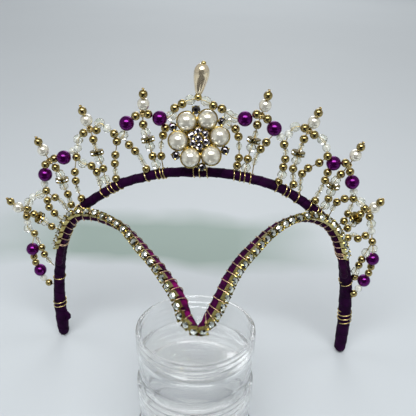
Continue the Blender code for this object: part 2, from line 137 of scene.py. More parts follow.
ahead = Vector((-math.sin(YAW) * math.cos(PITCH), math.cos(YAW) * math.cos(PITCH), -math.sin(PITCH)))
level = ahead.cross(Vector((0, 0, 1))).normalized()
above = level.cross(ahead)
right = level * math.cos(ROLL) + above * math.sin(ROLL)
top = above * math.cos(ROLL) - level * math.sin(ROLL)

camera = added("camera", bpy.data.cameras.new("camera"))
camera.data.sensor_width = SENSOR_WIDTH
camera.data.lens = FOCUS_PIXELS / PICTURE_PIXELS * SENSOR_WIDTH
camera.data.clip_start = 0.01
camera_turn = Matrix((right, top, -ahead)).transposed().to_4x4()
camera.matrix_world = Matrix.Translation(CAMERA_PLACE) @ camera_turn
bpy.context.scene.camera = camera
print("lens:", round(camera.data.lens, 2), "mm")

# %% [markdown]
# ## A small language for finishes
# A finish is a material made of nodes. Wrapping a node's output in a class lets the arithmetic be written
# as plain expressions, so `1 - mask` adds a Math node by itself. Every other node comes from one method,
# which sets its settings before it fills its sockets.

# %% Finishes from expressions
class Reading:
    """A value that changes over a surface. Arithmetic on it adds Math nodes to its finish."""

    def __init__(self, finish, socket):
        self.finish, self.socket = finish, socket

    def math(self, operation, *others):
        return self.finish.node("ShaderNodeMath", {"operation": operation}, dict(enumerate((self, *others))))

    def __add__(self, other):
        return self.math("ADD", other)

    def __mul__(self, other):
        return self.math("MULTIPLY", other)

    def __sub__(self, other):
        return self.math("SUBTRACT", other)

    def __rsub__(self, other):
        return self.finish.node("ShaderNodeMath", {"operation": "SUBTRACT"}, {0: other, 1: self})

    __radd__ = __add__
    __rmul__ = __mul__


class Finish:
    """A material under way."""

    def __init__(self, name, constants):
        self.material = bpy.data.materials.new(name)
        self.material.use_nodes = True
        self.tree = self.material.node_tree
        self.shader = self.tree.nodes["Principled BSDF"]
        for socket, value in constants.items():
            self.fill(self.shader.inputs[socket], value)

    def fill(self, target, value):
        if isinstance(value, Reading):
            self.tree.links.new(value.socket, target)
        else:
            target.default_value = value

    def node(self, kind, settings=None, inputs=None, output=0):
        made = self.tree.nodes.new(kind)
        for name, value in (settings or {}).items():
            setattr(made, name, value)
        for name, value in (inputs or {}).items():
            self.fill(made.inputs[name], value)
        return Reading(self, made.outputs[output])

    def place(self):
        return self.node("ShaderNodeTexCoord", output="Object")

    def part(self, vector, axis):
        """One of a vector's three numbers: 0 is x, 1 is y, 2 is z."""
        return self.node("ShaderNodeSeparateXYZ", inputs={0: vector}, output=axis)

    def noise(self, scale, detail=2.0):
        inputs = {"Vector": self.place(), "Scale": scale, "Detail": detail}
        return self.node("ShaderNodeTexNoise", inputs=inputs)

    def blend(self, amount, first, second):
        return self.node("ShaderNodeMix", {"data_type": "RGBA"}, {0: amount, 6: first, 7: second}, output=2)

    def ramp(self, value, start, end):
        return self.node("ShaderNodeMapRange", {"clamp": True}, {0: value, 1: start, 2: end, 3: 0.0, 4: 1.0})

    def bump(self, height, distance, strength=1.0):
        inputs = {"Height": height, "Distance": distance, "Strength": strength}
        return self.node("ShaderNodeBump", inputs=inputs)

    def show(self, **sockets):
        for name, value in sockets.items():
            self.fill(self.shader.inputs[name.replace("_", " ")], value)
        return self.material


def colour(red, green, blue):
    return (red, green, blue, 1.0)


# %% [markdown]
# ## Ribbon
# The wires are bound with narrow satin ribbon, each turn lapping the last. A picture of cloth would have to
# be stretched round every bend, so the finish is worked out instead, from the ribbon's own map, which runs
# in millimetres along the wire and once round it. The shapes carry the laps. The finish adds what is too
# fine for them: the ribbed weave across the ribbon, a darker line of painted shade where one turn slips
# under the next, and a painted highlight: a redder painted sheen on the left arm of the front point, where it
# comes forward into the light.

# %% Satin ribbon
CROWN_LAP = 5.4
PEAK_LAP = 4.2


def satin(name, deep, bright, painted_sheen, lap):
    """Bound ribbon, each turn a lap wide. The painted sheen colour, a painted highlight, shows on what is
    both near and to the left.
    """
    finish = Finish(name, {"Specular IOR Level": 0.05})
    flat = finish.node("ShaderNodeUVMap", {"uv_map": "ribbon"})
    along, around = finish.part(flat, 0), finish.part(flat, 1)
    turn = (along * (1 / lap) + around).math("FRACT")
    # Painted shade: this mask darkens the colour in a line where one turn slips under the next; it also
    # roughens and sinks that line.
    edge = finish.ramp((turn - 0.5).math("ABSOLUTE"), 0.45, 0.5)
    rib = ((along + around * lap) * 16.0).math("SINE")
    cloudy = finish.noise(260.0, 3.0)
    tone = finish.ramp(cloudy + rib * 0.05 - edge * 0.35, 0.34, 0.72)
    across, depth = finish.part(finish.place(), 0), finish.part(finish.place(), 1)
    # Painted highlight: this mask paints a redder sheen colour where the ribbon is near and to the left.
    to_the_left = 0.12 + finish.ramp(across, 0.010, 0.004) * 0.88
    in_the_light = finish.ramp(depth, 0.025, -0.02) * to_the_left
    finish.show(
        Base_Color=finish.blend(tone, deep, finish.blend(in_the_light, bright, painted_sheen)),
        Roughness=0.5 + cloudy * 0.16 + edge * 0.1,
        Normal=finish.bump(rib * 0.5 + cloudy * 0.6 - edge, 0.00006),
    )
    return finish.material


crown_satin = satin(
    "dark purple ribbon", colour(0.008, 0.0004, 0.011), colour(0.024, 0.001, 0.029),
    painted_sheen=colour(0.024, 0.001, 0.029), lap=CROWN_LAP,
)
# The peak ribbon's third colour is a painted magenta sheen: a painted highlight on its near left arm.
peak_satin = satin(
    "purple ribbon with painted magenta sheen", colour(0.012, 0.0006, 0.012), colour(0.034, 0.001, 0.034),
    painted_sheen=colour(0.25, 0.002, 0.12), lap=PEAK_LAP,
)
print("ribbon finishes:", crown_satin.name, "and", peak_satin.name)

# %% [markdown]
# ## Gold, pearl and stone
# The gold is plated: beads a little brown with age, wire paler, the brooch yellower. A pearl is lacquer
# over a bead. Light scattered under its surface could be worked out, but slowly, so the metallic value
# stands in for it: part of what the pearl mirrors then takes its own colour. The chain's stones have foil
# behind them, so they mirror the room in flat facets, while the strung crystals are clear right through.
# The jar's plastic bends light so little that what stands behind it keeps its place, and a coat gives it
# its gloss.

# %% Plated gold
def plated(name, bright, worn, roughness):
    finish = Finish(name, {"Metallic": 1.0})
    wear = finish.ramp(finish.noise(420.0, 4.0), 0.35, 0.75)
    return finish.show(
        Base_Color=finish.blend(wear, bright, worn),
        Roughness=roughness + wear * 0.08,
        Normal=finish.bump(finish.noise(2600.0), 0.00001, 0.5),
    )


bead_gold = plated("antique gold beads", colour(0.52, 0.41, 0.17), colour(0.25, 0.19, 0.065), 0.1)
wire_gold = plated("pale gold wire", colour(0.76, 0.60, 0.28), colour(0.50, 0.37, 0.15), 0.2)
chain_gold = plated("aged yellow brass", colour(0.66, 0.56, 0.22), colour(0.24, 0.20, 0.06), 0.2)
tie_gold = plated("rosy gold wire", colour(0.80, 0.56, 0.38), colour(0.55, 0.36, 0.22), 0.24)
brooch_gold = plated("yellow gold plate", colour(0.70, 0.56, 0.22), colour(0.45, 0.34, 0.11), 0.18)
print("golds:", [material.name for material in (bead_gold, wire_gold, chain_gold, tie_gold, brooch_gold)])


# %% Pearl lacquer
def lacquer(name, light, deep, metallic, roughness, coat=0.8, edge=colour(1.0, 1.0, 1.0)):
    finish = Finish(name, {
        "Metallic": metallic, "Coat Weight": coat, "Coat Roughness": 0.08, "Specular Tint": edge,
    })
    cloud = finish.ramp(finish.noise(330.0, 2.0), 0.3, 0.75)
    return finish.show(
        Base_Color=finish.blend(cloud, light, deep),
        Roughness=roughness + cloud * 0.06,
    )


ivory = lacquer("ivory pearl", colour(0.86, 0.83, 0.72), colour(0.80, 0.76, 0.63), 0.62, 0.15)
cream = lacquer("cream drop pearl", colour(0.90, 0.77, 0.55), colour(0.87, 0.73, 0.50), 0.85, 0.17)
violet = lacquer(
    "violet pearl", colour(0.115, 0.0008, 0.125), colour(0.075, 0.0006, 0.085), 0.85, 0.12,
    coat=0.25, edge=colour(0.5, 0.1, 0.55),
)
print("pearls:", [material.name for material in (ivory, cream, violet)])


# %% Stones and clear plastic
def glassy(name, tint, roughness, ior, rim, clear=1.0, coat=0.0):
    finish = Finish(name, {
        "Transmission Weight": clear, "IOR": ior, "Coat Weight": coat, "Coat Roughness": 0.05,
    })
    film = finish.ramp(finish.noise(500.0), 0.35, 0.7)
    return finish.show(Base_Color=finish.blend(film, tint, rim), Roughness=roughness + film * 0.02)


crystal = glassy("clear crystal", colour(1.0, 1.0, 0.93), 0.0, 1.45, colour(0.93, 0.95, 0.84), clear=0.86)
milky = Finish("milky glass", {
    "Transmission Weight": 0.45, "IOR": 1.4, "Coat Weight": 1.0, "Coat Roughness": 0.06,
})
haze = milky.ramp(milky.noise(500.0), 0.3, 0.7)
milky.show(
    Base_Color=milky.blend(haze, colour(0.93, 0.94, 0.88), colour(0.82, 0.85, 0.78)),
    Roughness=0.12 + haze * 0.1,
)
plastic = glassy(
    "clear plastic", colour(0.945, 0.954, 0.957), 0.09, 1.1, colour(0.92, 0.932, 0.936),
    clear=0.91, coat=1.0,
)
foiled = plated("foil-backed stone", colour(0.95, 0.98, 0.94), colour(0.40, 0.44, 0.38), 0.03)
dark_foiled = plated("grey foil-backed stone", colour(0.80, 0.78, 0.86), colour(0.08, 0.06, 0.11), 0.03)
smoky = plated("smoky stone", colour(0.26, 0.25, 0.27), colour(0.07, 0.06, 0.07), 0.05)
print("finishes:", len(bpy.data.materials))

# %% [markdown]
# ## Floor and light
# The headpiece stands on a white stone table with a soft grey-green band of painted shade behind it. One soft
# window of light above the camera gives each pearl its bright oval, and the room below that light is dim,
# which gives the grey band under the oval. The rest of the room is pale. Two weak lights at the sides lift
# the shadows and are left out of mirror images, so a pearl shows one window only, and one light behind
# brightens the far end of the table.

# %% Floor
board = bmesh.new()
bmesh.ops.create_circle(board, cap_ends=True, segments=96, radius=5.0)
floor_mesh = mesh_of(board, "floor")
table = Finish("white stone table", {"Roughness": 0.55, "Specular IOR Level": 0.3})
mottle = table.noise(3.0, 3.0)
drift = table.noise(14.0, 2.0) * 0.05
backward = table.part(table.place(), 1) + drift
sideways = table.part(table.place(), 0) + drift
# Painted shade: a soft grey-green darker band across the table behind the headpiece, fading at its sides.
painted_shade_band_width = table.ramp(sideways, -0.15, -0.06) * table.ramp(sideways, 0.115, 0.04)
painted_shade_band = table.ramp(backward, 0.140, 0.160) * table.ramp(backward, 0.234, 0.203) * painted_shade_band_width
stone_white = table.blend(mottle, colour(0.525, 0.562, 0.59), colour(0.56, 0.598, 0.625))
floor_mesh.materials.append(table.show(
    Base_Color=table.blend(painted_shade_band, stone_white, colour(0.275, 0.35, 0.32)),
))
floor = added("floor", floor_mesh)
floor.location.z = -0.0001
print("table top:", round(floor.dimensions.x, 1), "m across")


# %% Lights
def softbox(name, place, target, width, height, power, mirrored=True):
    """An oval window of light at a place, turned to its target."""
    lamp = bpy.data.lights.new(name, "AREA")
    lamp.shape = "ELLIPSE"
    lamp.size, lamp.size_y = width, height
    lamp.energy = power
    made = added(name, lamp)
    made.location = place
    made.visible_glossy = mirrored
    made.rotation_euler = (Vector(target) - Vector(place)).to_track_quat("-Z", "Y").to_euler()


softbox("window light", (0.02, -0.50, 0.80), (0.0, 0.0, 0.08), 1.0, 0.42, 8.2)
softbox("left fill", (-1.1, 0.3, 0.8), (0.0, 0.0, 0.06), 0.7, 0.7, 2.0, mirrored=False)
softbox("right fill", (1.1, 0.4, 0.8), (0.0, 0.0, 0.06), 0.7, 0.7, 2.0, mirrored=False)
softbox("back of the room", (0.0, 2.2, 1.2), (0.0, 0.9, 0.0), 1.6, 0.8, 13.5)

world = bpy.data.worlds.new("pale room")
world.use_nodes = True
world.node_tree.nodes["Background"].inputs["Color"].default_value = (0.90, 0.93, 0.95, 1)
world.node_tree.nodes["Background"].inputs["Strength"].default_value = 0.40
bpy.context.scene.world = world
bpy.context.scene.view_settings.view_transform = "Standard"

# %% [markdown]
# Whoever holds the camera stands dark at the table's edge, and every bead mirrors them under the window's
# bright oval. A dark cloth, upright behind the camera and lying on the table below it, does the same. It
# shows in mirror images only: it casts no shadow and the camera can't see it.

# %% Dark cloth in front: place, tilt, width, depth
CLOTHS = (
    ((0.0, -0.46, 0.25), 90, 0.8, 0.48),
    ((0.0, -0.25, 0.004), 0, 0.4, 0.42),
)
cloth = bmesh.new()
for place, tilt, width, depth in CLOTHS:
    turned = Matrix.Translation(place) @ rotation(tilt, "X")
    bmesh.ops.create_grid(
        cloth, x_segments=1, y_segments=1, size=0.5, matrix=turned @ Matrix.Diagonal((width, depth, 1, 1)),
    )
cloth_mesh = mesh_of(cloth, "dark cloth")
cloth_mesh.materials.append(Finish("dark cloth", {
    "Base Color": colour(0.025, 0.024, 0.028), "Roughness": 0.9, "Specular IOR Level": 0.1,
}).material)
hidden_cloth = added("dark cloth", cloth_mesh)
hidden_cloth.visible_camera = False
hidden_cloth.visible_diffuse = False
hidden_cloth.visible_transmission = False
hidden_cloth.visible_shadow = False
print("dark cloth:", len(cloth_mesh.polygons), "sheets")


# %% [markdown]
# ## From a bench shape to a finished piece
# Every piece is made in millimetres in the tables' own place. The last step moves it to the model's origin,
# scales it to metres, gives it its finish, puts it on the model's root body and hides the CAD nodes that it
# stands for. Many small things could each be an object, but there are hundreds here, so a piece is one
# template copied to many places inside one mesh.

# %% Finishing helpers
def finished(name, data, finish, slot, *nodes):
    """A mesh or curve as a piece with its finish, put on the root body, with the CAD nodes that it stands for
    hidden.
    """
    made = added(name, data)
    data.materials.clear()
    data.materials.append(finish)
    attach(made, "root")
    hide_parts(*nodes)


def from_bench(name, work, finish, slot, *nodes, crease=35):
    """A bmesh in table millimetres as a finished piece."""
    bmesh.ops.translate(work, vec=TO_ORIGIN, verts=work.verts)
    bmesh.ops.scale(work, vec=(MM, MM, MM), verts=work.verts)
    mesh = mesh_of(work, name)
    mesh.shade_smooth()
    mesh.set_sharp_from_angle(angle=math.radians(crease))
    print(f"{name}: {len(mesh.polygons)} faces")
    finished(name, mesh, finish, slot, *nodes)


def template(build):
    """A small shape to be copied many times, made by a function that adds it to an empty bmesh."""
    work = bmesh.new()
    build(work)
    return mesh_of(work, "template")


def copies(shape, places, work=None):
    """The template at every place, in one bmesh."""
    work = work or bmesh.new()
    for place in places:
        start = len(work.verts)
        work.from_mesh(shape)
        work.verts.ensure_lookup_table()
        bmesh.ops.transform(work, matrix=place, verts=work.verts[start:])
    return work


def wires(name, lines, finish, slot, *nodes):
    """Bent wires as one curve: each line is its points, its radius and whether it closes."""
    curve = bpy.data.curves.new(name, "CURVE")
    curve.dimensions = "3D"
    curve.bevel_depth = MM
    curve.bevel_resolution = 1
    curve.use_fill_caps = True
    for points, radius, closed in lines:
        line = curve.splines.new("POLY")
        line.points.add(len(points) - 1)
        line.use_cyclic_u = closed
        line.use_smooth = True
        for point, place in zip(line.points, points):
            point.co = (*((Vector(place) + TO_ORIGIN) * MM), 1)
            point.radius = radius
    print(f"{name}: {len(lines)} wires")
    finished(name, curve, finish, slot, *nodes)


# %% Lines through points
def way(a, b):
    """The way from one row's place to another's. A row may carry more columns after its place."""
    return Vector(b[:3]) - Vector(a[:3])


def smooth(rows, spans):
    """Points along a smooth curve through the rows, with every column carried along."""
    points = [Vector(row) for row in rows]
    ends = [points[0] * 2 - points[1], *points, points[-1] * 2 - points[-2]]
    found = []
    for i in range(len(points) - 1):
        before, start, end, after = ends[i:i + 4]
        for step in range(spans):
            t = step / spans
            found.append(0.5 * (
                2 * start + (end - before) * t + (2 * before - 5 * start + 4 * end - after) * t ** 2
                + (3 * start - before - 3 * end + after) * t ** 3
            ))
    return found + [points[-1]]


def spaced(points, count):
    """The same line with its points at equal distances."""
    travel = [0.0]
    for a, b in zip(points, points[1:]):
        travel.append(travel[-1] + way(a, b).length)
    found, i = [], 0
    for k in range(count):
        goal = travel[-1] * k / (count - 1)
        while i < len(travel) - 2 and travel[i + 1] < goal:
            i += 1
        found.append(points[i].lerp(points[i + 1], (goal - travel[i]) / (travel[i + 1] - travel[i])))
    return found


# %% [markdown]
# ## The bound arch
# On the real headpiece two wires are laid together and bound with ribbon from end to end, so the legs are
# thicker than the top. A curve with a round section would be quicker to make but quite smooth. Here the
# roll is a flat sheet, bent round the wire's line: its long side follows the wire and its short side closes
# into the roll. Each vertex stands a little further out towards the end of its turn of ribbon and drops
# back where the next turn begins, which makes the laps real.

# %% Rolled ribbon
def rolled(line, sides, lap, thickness):
    """A ribbon-bound roll round a line of x, y, z, radius, mapped in millimetres along and turns round."""
    length = sum(way(a, b).length for a, b in zip(line, line[1:]))
    work = bmesh.new()
    bmesh.ops.create_grid(work, x_segments=len(line) - 1, y_segments=sides, size=0.5)
    flat = work.loops.layers.uv.new("ribbon")
    for face in work.faces:
        for loop in face.loops:
            loop[flat].uv = ((loop.vert.co.x + 0.5) * length, loop.vert.co.y + 0.5)
    rings = []
    up = Vector((0, -1, 0.2))
    for k, row in enumerate(line):
        along = way(line[max(k - 1, 0)], line[min(k + 1, len(line) - 1)]).normalized()
        up = (up - along * up.dot(along)).normalized()
        rings.append((Vector(row[:3]), up.copy(), along.cross(up), row[3]))
    for vert in work.verts:
        share, turn = vert.co.x + 0.5, vert.co.y + 0.5
        centre, out, side, radius = rings[round(share * (len(line) - 1))]
        travel = share * length
        lapped = (travel / lap + turn) % 1.0
        uneven = 0.05 * math.sin(travel * 0.37) + 0.04 * math.sin(travel * 0.91 + turn * math.tau)
        from_end = min(travel, length - travel) / radius
        tip = math.sqrt(1 - (1 - min(from_end, 1.0)) ** 2)
        reach = (radius + thickness * lapped ** 2 + uneven) * max(tip, 0.02)
        angle = turn * math.tau
        vert.co = centre + (out * math.cos(angle) + side * math.sin(angle)) * reach
    bmesh.ops.remove_doubles(work, verts=work.verts, dist=0.002)
    bmesh.ops.holes_fill(work, edges=[edge for edge in work.edges if edge.is_boundary], sides=0)
    bmesh.ops.recalc_face_normals(work, faces=work.faces)
    return work


# %% The arch, from the left foot over the top to the right foot: x, z, radius
ARCH = (
    (-68.9, 0.1, 2.2), (-69.0, 3.0, 2.6), (-69.3, 9.0, 2.95), (-69.5, 18, 2.85), (-69.3, 27, 2.7),
    (-67.8, 39, 2.5), (-64.7, 52, 2.35), (-61.7, 61.5, 2.3), (-57.4, 69.5, 2.2), (-50.2, 79, 2.1),
    (-42.2, 85.5, 2.0), (-32.6, 92, 2.0), (-23.7, 95.6, 2.0), (-12.7, 98.8, 2.0), (2.1, 100.0, 2.0),
    (14.5, 99.6, 2.0), (27.5, 96.8, 2.0), (36.1, 93.7, 2.0), (45.1, 88.0, 2.0), (54.5, 80.5, 2.1),
    (62.0, 71.3, 2.3), (66.6, 61, 2.4), (69.7, 49, 2.6), (71.8, 39, 2.9), (72.6, 30, 3.0),
    (73.2, 20, 3.0), (73.1, 9, 2.9), (73.0, 3.0, 2.8), (72.9, 0.1, 2.4),
)
arch_line = smooth([(x, depth_at(z), z, radius) for x, z, radius in ARCH], 12)
crown_roll = rolled(spaced(arch_line, 620), 20, CROWN_LAP, 0.22)
from_bench("crown_ribbon", crown_roll, crown_satin, "ribbon", "crown_arch")


def arch_near(place):
    """The arch's nearest centre point to a place, its direction there and its radius."""
    k = min(range(1, len(arch_line) - 1), key=lambda i: way(arch_line[i], place).length)
    along = way(arch_line[k - 1], arch_line[k + 1]).normalized()
    return Vector(arch_line[k][:3]), along, arch_line[k][3]


# %% [markdown]
# The binding ends in a small folded tag of ribbon that stands out from the left leg. It is a flat strip
# bent over in a curve that narrows towards its fold, and it gets its thickness last.

# %% The ribbon's folded end
TAG_FOOT = Vector((-67.4, 43.0, 13.0))
TAG_REACH = 3.6
TAG_HEIGHT = 8.6

tag = bmesh.new()
bmesh.ops.create_grid(tag, x_segments=6, y_segments=2, size=0.5)
tag_map = tag.loops.layers.uv.new("ribbon")
for face in tag.faces:
    for loop in face.loops:
        loop[tag_map].uv = (loop.vert.co.x * 5, loop.vert.co.y)
for vert in tag.verts:
    bend = (vert.co.x + 0.5) * math.pi * 0.8
    height = TAG_HEIGHT - 6.8 * math.sin(bend)
    vert.co = TAG_FOOT + Vector((TAG_REACH * math.sin(bend), -1.8 * vert.co.x, height * vert.co.y))
bmesh.ops.recalc_face_normals(tag, faces=tag.faces)
bmesh.ops.solidify(tag, geom=tag.faces[:], thickness=0.5)
from_bench("ribbon_end", tag, crown_satin, "ribbon", "crown_arch")

# %% [markdown]
# ## The forehead point
# The front wire starts at one leg, comes forward over the forehead to a point and goes back to the other
# leg. The tables give the middle of its stone chain and the way that the stones face, because the chain is
# what the photograph shows best. The ribbon roll lies 3.4 mm behind the chain.

# %% The two arms, from the point back to the legs: x, y, z of the chain, then the way that it faces
PEAK_LEFT = (
    (5.1, -27.5, 59.4, -0.1, -0.96, -0.26), (0.1, -22.2, 60.4, -0.68, -0.66, 0.32),
    (-3.5, -15.7, 65.3, -0.6, -0.76, 0.25), (-8.8, -9.1, 69.5, -0.54, -0.74, 0.4),
    (-14.2, -3.1, 73.0, -0.51, -0.7, 0.5), (-19.6, 2.8, 75.2, -0.56, -0.65, 0.51),
    (-24.4, 8.8, 77.2, -0.46, -0.63, 0.62), (-29.8, 14.3, 79.5, -0.36, -0.64, 0.68),
    (-37.2, 19.8, 80.6, -0.27, -0.56, 0.78), (-45.3, 23.7, 80.9, -0.28, -0.49, 0.82),
    (-53.4, 26.0, 78.9, -0.55, -0.49, 0.68), (-58.8, 27.7, 72.6, -0.79, -0.51, 0.34),
    (-62.5, 30.3, 64.0, -0.81, -0.57, 0.16), (-64.5, 32.1, 59.7, -0.82, -0.55, 0.15),
)
PEAK_RIGHT = (
    (8.7, -27.5, 59.4, 0.1, -0.96, -0.26), (13.0, -22.2, 62.5, 0.76, -0.63, 0.14),
    (16.4, -16.2, 67.6, 0.82, -0.55, 0.17), (19.1, -10.2, 71.9, 0.79, -0.58, 0.2),
    (22.8, -4.7, 76.0, 0.73, -0.65, 0.19), (27.1, 0.8, 79.0, 0.71, -0.66, 0.26),
    (31.0, 6.3, 81.5, 0.63, -0.67, 0.4), (35.4, 11.3, 83.5, 0.55, -0.68, 0.48),
    (40.5, 16.3, 84.7, 0.48, -0.7, 0.53), (46.4, 20.3, 85.3, 0.45, -0.7, 0.56),
    (52.9, 23.8, 84.0, 0.55, -0.56, 0.62), (59.2, 26.8, 79.8, 0.69, -0.54, 0.49),
    (63.9, 28.3, 73.5, 0.78, -0.54, 0.31), (66.8, 30.2, 66.1, 0.82, -0.56, 0.15),
    (68.1, 31.5, 62.3, 0.82, -0.57, 0.08),
)
PEAK_END_LEFT = ((-63.6, 35.3, 53.5), (-65.8, 37.5, 46.0))
PEAK_END_RIGHT = ((67.4, 34.7, 55.5), (69.3, 36.9, 47.5))
PEAK_TIP = Vector((6.9, -24.8, 57.5))
PEAK_RADIUS = 1.7
CHAIN_LIFT = 3.4

arms = []
for arm, end in ((PEAK_LEFT, PEAK_END_LEFT), (PEAK_RIGHT, PEAK_END_RIGHT)):
    rows = [Vector(row[:3]) - Vector(row[3:]).normalized() * CHAIN_LIFT for row in arm]
    arms.append([*rows[1:], *(Vector(row) for row in end)])
peak_rows = [(*row, PEAK_RADIUS) for row in (*reversed(arms[0]), PEAK_TIP, *arms[1])]
peak_line = spaced(smooth(peak_rows, 10), 440)
from_bench("peak_ribbon", rolled(peak_line, 16, PEAK_LAP, 0.2), peak_satin, "ribbon", "peak_band")

# %% [markdown]
# ## The stone chain
# It is cup chain, sold by length: each stone sits in a small square brass cup with four claws, and tiny
# bars join the cups. A link bent along a curve would be squashed at the point, so one rigid link is
# modelled and copied to a frame at each step of the arm. A cup is a square cone, hollowed by an inset, and
# a stone is a cone with its flat top's edges cut back, which gives a table and two rings of facets.

# %% One link
CHAIN_LINKS = {"left": 26, "right": 28}


def facing(place, along, outward):
    """A frame at a place with its Z outward and its X as near as can be to along."""
    z = outward.normalized()
    y = z.cross(along).normalized()
    return Matrix.Translation(place) @ Matrix((y.cross(z), y, z)).transposed().to_4x4()


def cone(work, sides, radii, height, place=Matrix.Identity(4)):
    """A cone between two radii, the lower one first, with its middle at a place. Equal radii make a drum."""
    return bmesh.ops.create_cone(
        work, cap_ends=True, segments=sides, radius1=radii[0], radius2=radii[1], depth=height, matrix=place,
    )


def cut_back(work, edges, width):
    """Cuts each edge back to a narrow flat."""
    bmesh.ops.bevel(work, geom=edges, offset=width, segments=1, profile=0.5, affect="EDGES", material=-1)


def four_claws(work, foot, tilt, *shape):
    """A claw at each corner of a cup, leaning in over the stone: a cone's sides, radii and height."""
    for k in range(4):
        corner = rotation(45 + 90 * k, "Z") @ Matrix.Translation(foot)
        cone(work, *shape, corner @ rotation(tilt, "Y"))


def gem(work, radius, height, base=0.0):
    """A cut stone with its girdle at the base height: a flat table, upper facets and slanting crown."""
    cone(work, 8, (radius, radius * 0.55), height, Matrix.Translation((0, 0, base + height / 2)))
    rim = [edge for edge in work.edges if all(vert.co.z > base + height * 0.9 for vert in edge.verts)]
    cut_back(work, rim, radius * 0.14)


def cup(work):
    """A square cup with four claws and the bar that joins it to the next."""
    cone(work, 4, (2.1, 2.36), 1.9, Matrix.Translation((0, 0, -0.3)) @ rotation(45, "Z"))
    lid = max(work.faces, key=lambda face: face.calc_center_median().z)
    bmesh.ops.inset_individual(work, faces=[lid], thickness=0.22, depth=0.0)
    bmesh.ops.translate(work, vec=(0, 0, -0.6), verts=lid.verts)
    four_claws(work, (1.85, 0, 0.85), -28, 5, (0.34, 0.16), 0.9)
    cone(work, 5, (0.45, 0.45), 4.4, Matrix.Translation((0, 0, -0.6)) @ rotation(90, "Y"))


def chain_stone(work):
    gem(work, 1.64, 0.72, base=0.4)


def tipped(frames, degrees):
    """Stones never sit quite level: each is tipped a little another way, so each glints differently."""
    tip = rotation(degrees, "X")
    return [frame @ Matrix.Rotation(2.4 * k, 4, "Z") @ tip for k, frame in enumerate(frames)]


link_cup, link_stone = template(cup), template(chain_stone)
chain_frames = {}
for side, arm in (("left", PEAK_LEFT), ("right", PEAK_RIGHT)):
    line = spaced(smooth(arm, 6), CHAIN_LINKS[side])
    steps = [way(a, b) for a, b in zip(line, line[1:])]
    steps.append(steps[-1])
    chain_frames[side] = [
        facing(Vector(row[:3]), step, Vector(row[3:])) for row, step in zip(line, steps)
    ]
    node = "stone_chain_" + side
    cups = copies(link_cup, chain_frames[side])
    stones = copies(link_stone, tipped(chain_frames[side], 7))
    from_bench("chain_cups_" + side, cups, chain_gold, "gold_wire", node, crease=20)
    from_bench("chain_stones_" + side, stones, foiled, "clear_stones", node, crease=5)
    print(side, "chain pitch:", round(steps[3].length, 2), "mm")

# %% [markdown]
# ## The wire that ties the chain down
# One long thin wire spirals round ribbon and chain together and crosses the chain between two cups. A plain
# spiral would cut through the cups, so each turn runs straight over the gap and slants only behind. The
# shape of one turn is a short table, side and height over the ribbon's middle, and each spiral is one
# curve.

# %% Spiral ties along both arms
TURN = ((0, 3.7), (0.75, 3.3), (1.5, 1.7), (2.0, 0.3), (1.85, -0.9), (1.1, -1.75), (0, -2.05))
TIE_WIRE = 0.2
turn = [*TURN, *((-side, lift) for side, lift in reversed(TURN[1:-1]))]
ties = []
for side, frames in chain_frames.items():
    points = []
    for a, b in zip(frames[:-1], frames[1:]):
        for k, (across, lift) in enumerate(turn):
            share = k / len(turn)
            slant = share - math.sin(share * math.tau) / math.tau
            spot = Vector((0, across, lift - CHAIN_LIFT))
            half = (b.translation - a.translation) * 0.5
            points.append((a @ spot).lerp(b @ spot, slant) + half)
    ties.append((points, TIE_WIRE, False))
wires("chain_tie_wire", ties, tie_gold, "gold_wire", "stone_chain_left", "stone_chain_right")

# %% [markdown]
# ## The beadwork
# Scallops of beads run from the brooch down to each leg, eight stems rise through them to a pearl and a
# gold bead, and thin strands tie the valleys back to the arch. Each string is a table of bead and place,
# read off the photograph on the leaning surface. A fourth number brings a bead forward from that surface.

# %% The scalloped outer strings: bead, x, z
EDGE_LEFT = (
    ("wire", 1.0, 133.2), ("crystal", -1.7, 132.6), ("gold", -4.5, 130.9), ("gold", -7.1, 128.9),
    ("crystal", -9.2, 126.0), ("violet", -13.2, 124.5), ("gold", -17.9, 125.9), ("cross", -20.3, 126.2),
    ("gold", -23.2, 125.0), ("violet", -27.1, 121.6), ("crystal", -29.3, 116.2), ("gold", -31.9, 113.1),
    ("gold", -32.5, 116.8), ("pearl", -35.3, 118.9), ("crystal", -37.9, 121.0), ("gold", -39.7, 118.1),
    ("cross", -42.4, 118.3), ("gold", -45.3, 116.4), ("crystal", -47.9, 113.3), ("pearl", -48.7, 109.2),
    ("gold", -49.9, 104.7), ("pearl", -52.3, 106.4, -2.0), ("violet", -55.6, 104.6), ("gold", -59.3, 103.5),
    ("cross", -61.8, 102.3), ("gold", -64.0, 100.3), ("violet", -65.0, 95.2), ("pearl", -66.2, 90.4),
    ("gold", -66.1, 86.6), ("crystal", -69.3, 84.4), ("pearl", -72.7, 82.9), ("crystal", -75.3, 79.9),
    ("gold", -76.9, 76.3), ("cross", -77.7, 74.0), ("gold", -77.9, 71.7), ("pearl", -78.3, 68.2),
    ("crystal", -78.7, 64.6), ("gold", -76.2, 61.6), ("wire", -78.0, 56.5), ("violet", -78.9, 51.8),
    ("gold", -79.3, 46.9), ("gold", -79.2, 43.1), ("violet", -77.8, 38.2), ("pearl", -76.6, 33.4),
    ("gold", -74.3, 31.0), ("wire", -72.8, 30.6),
)
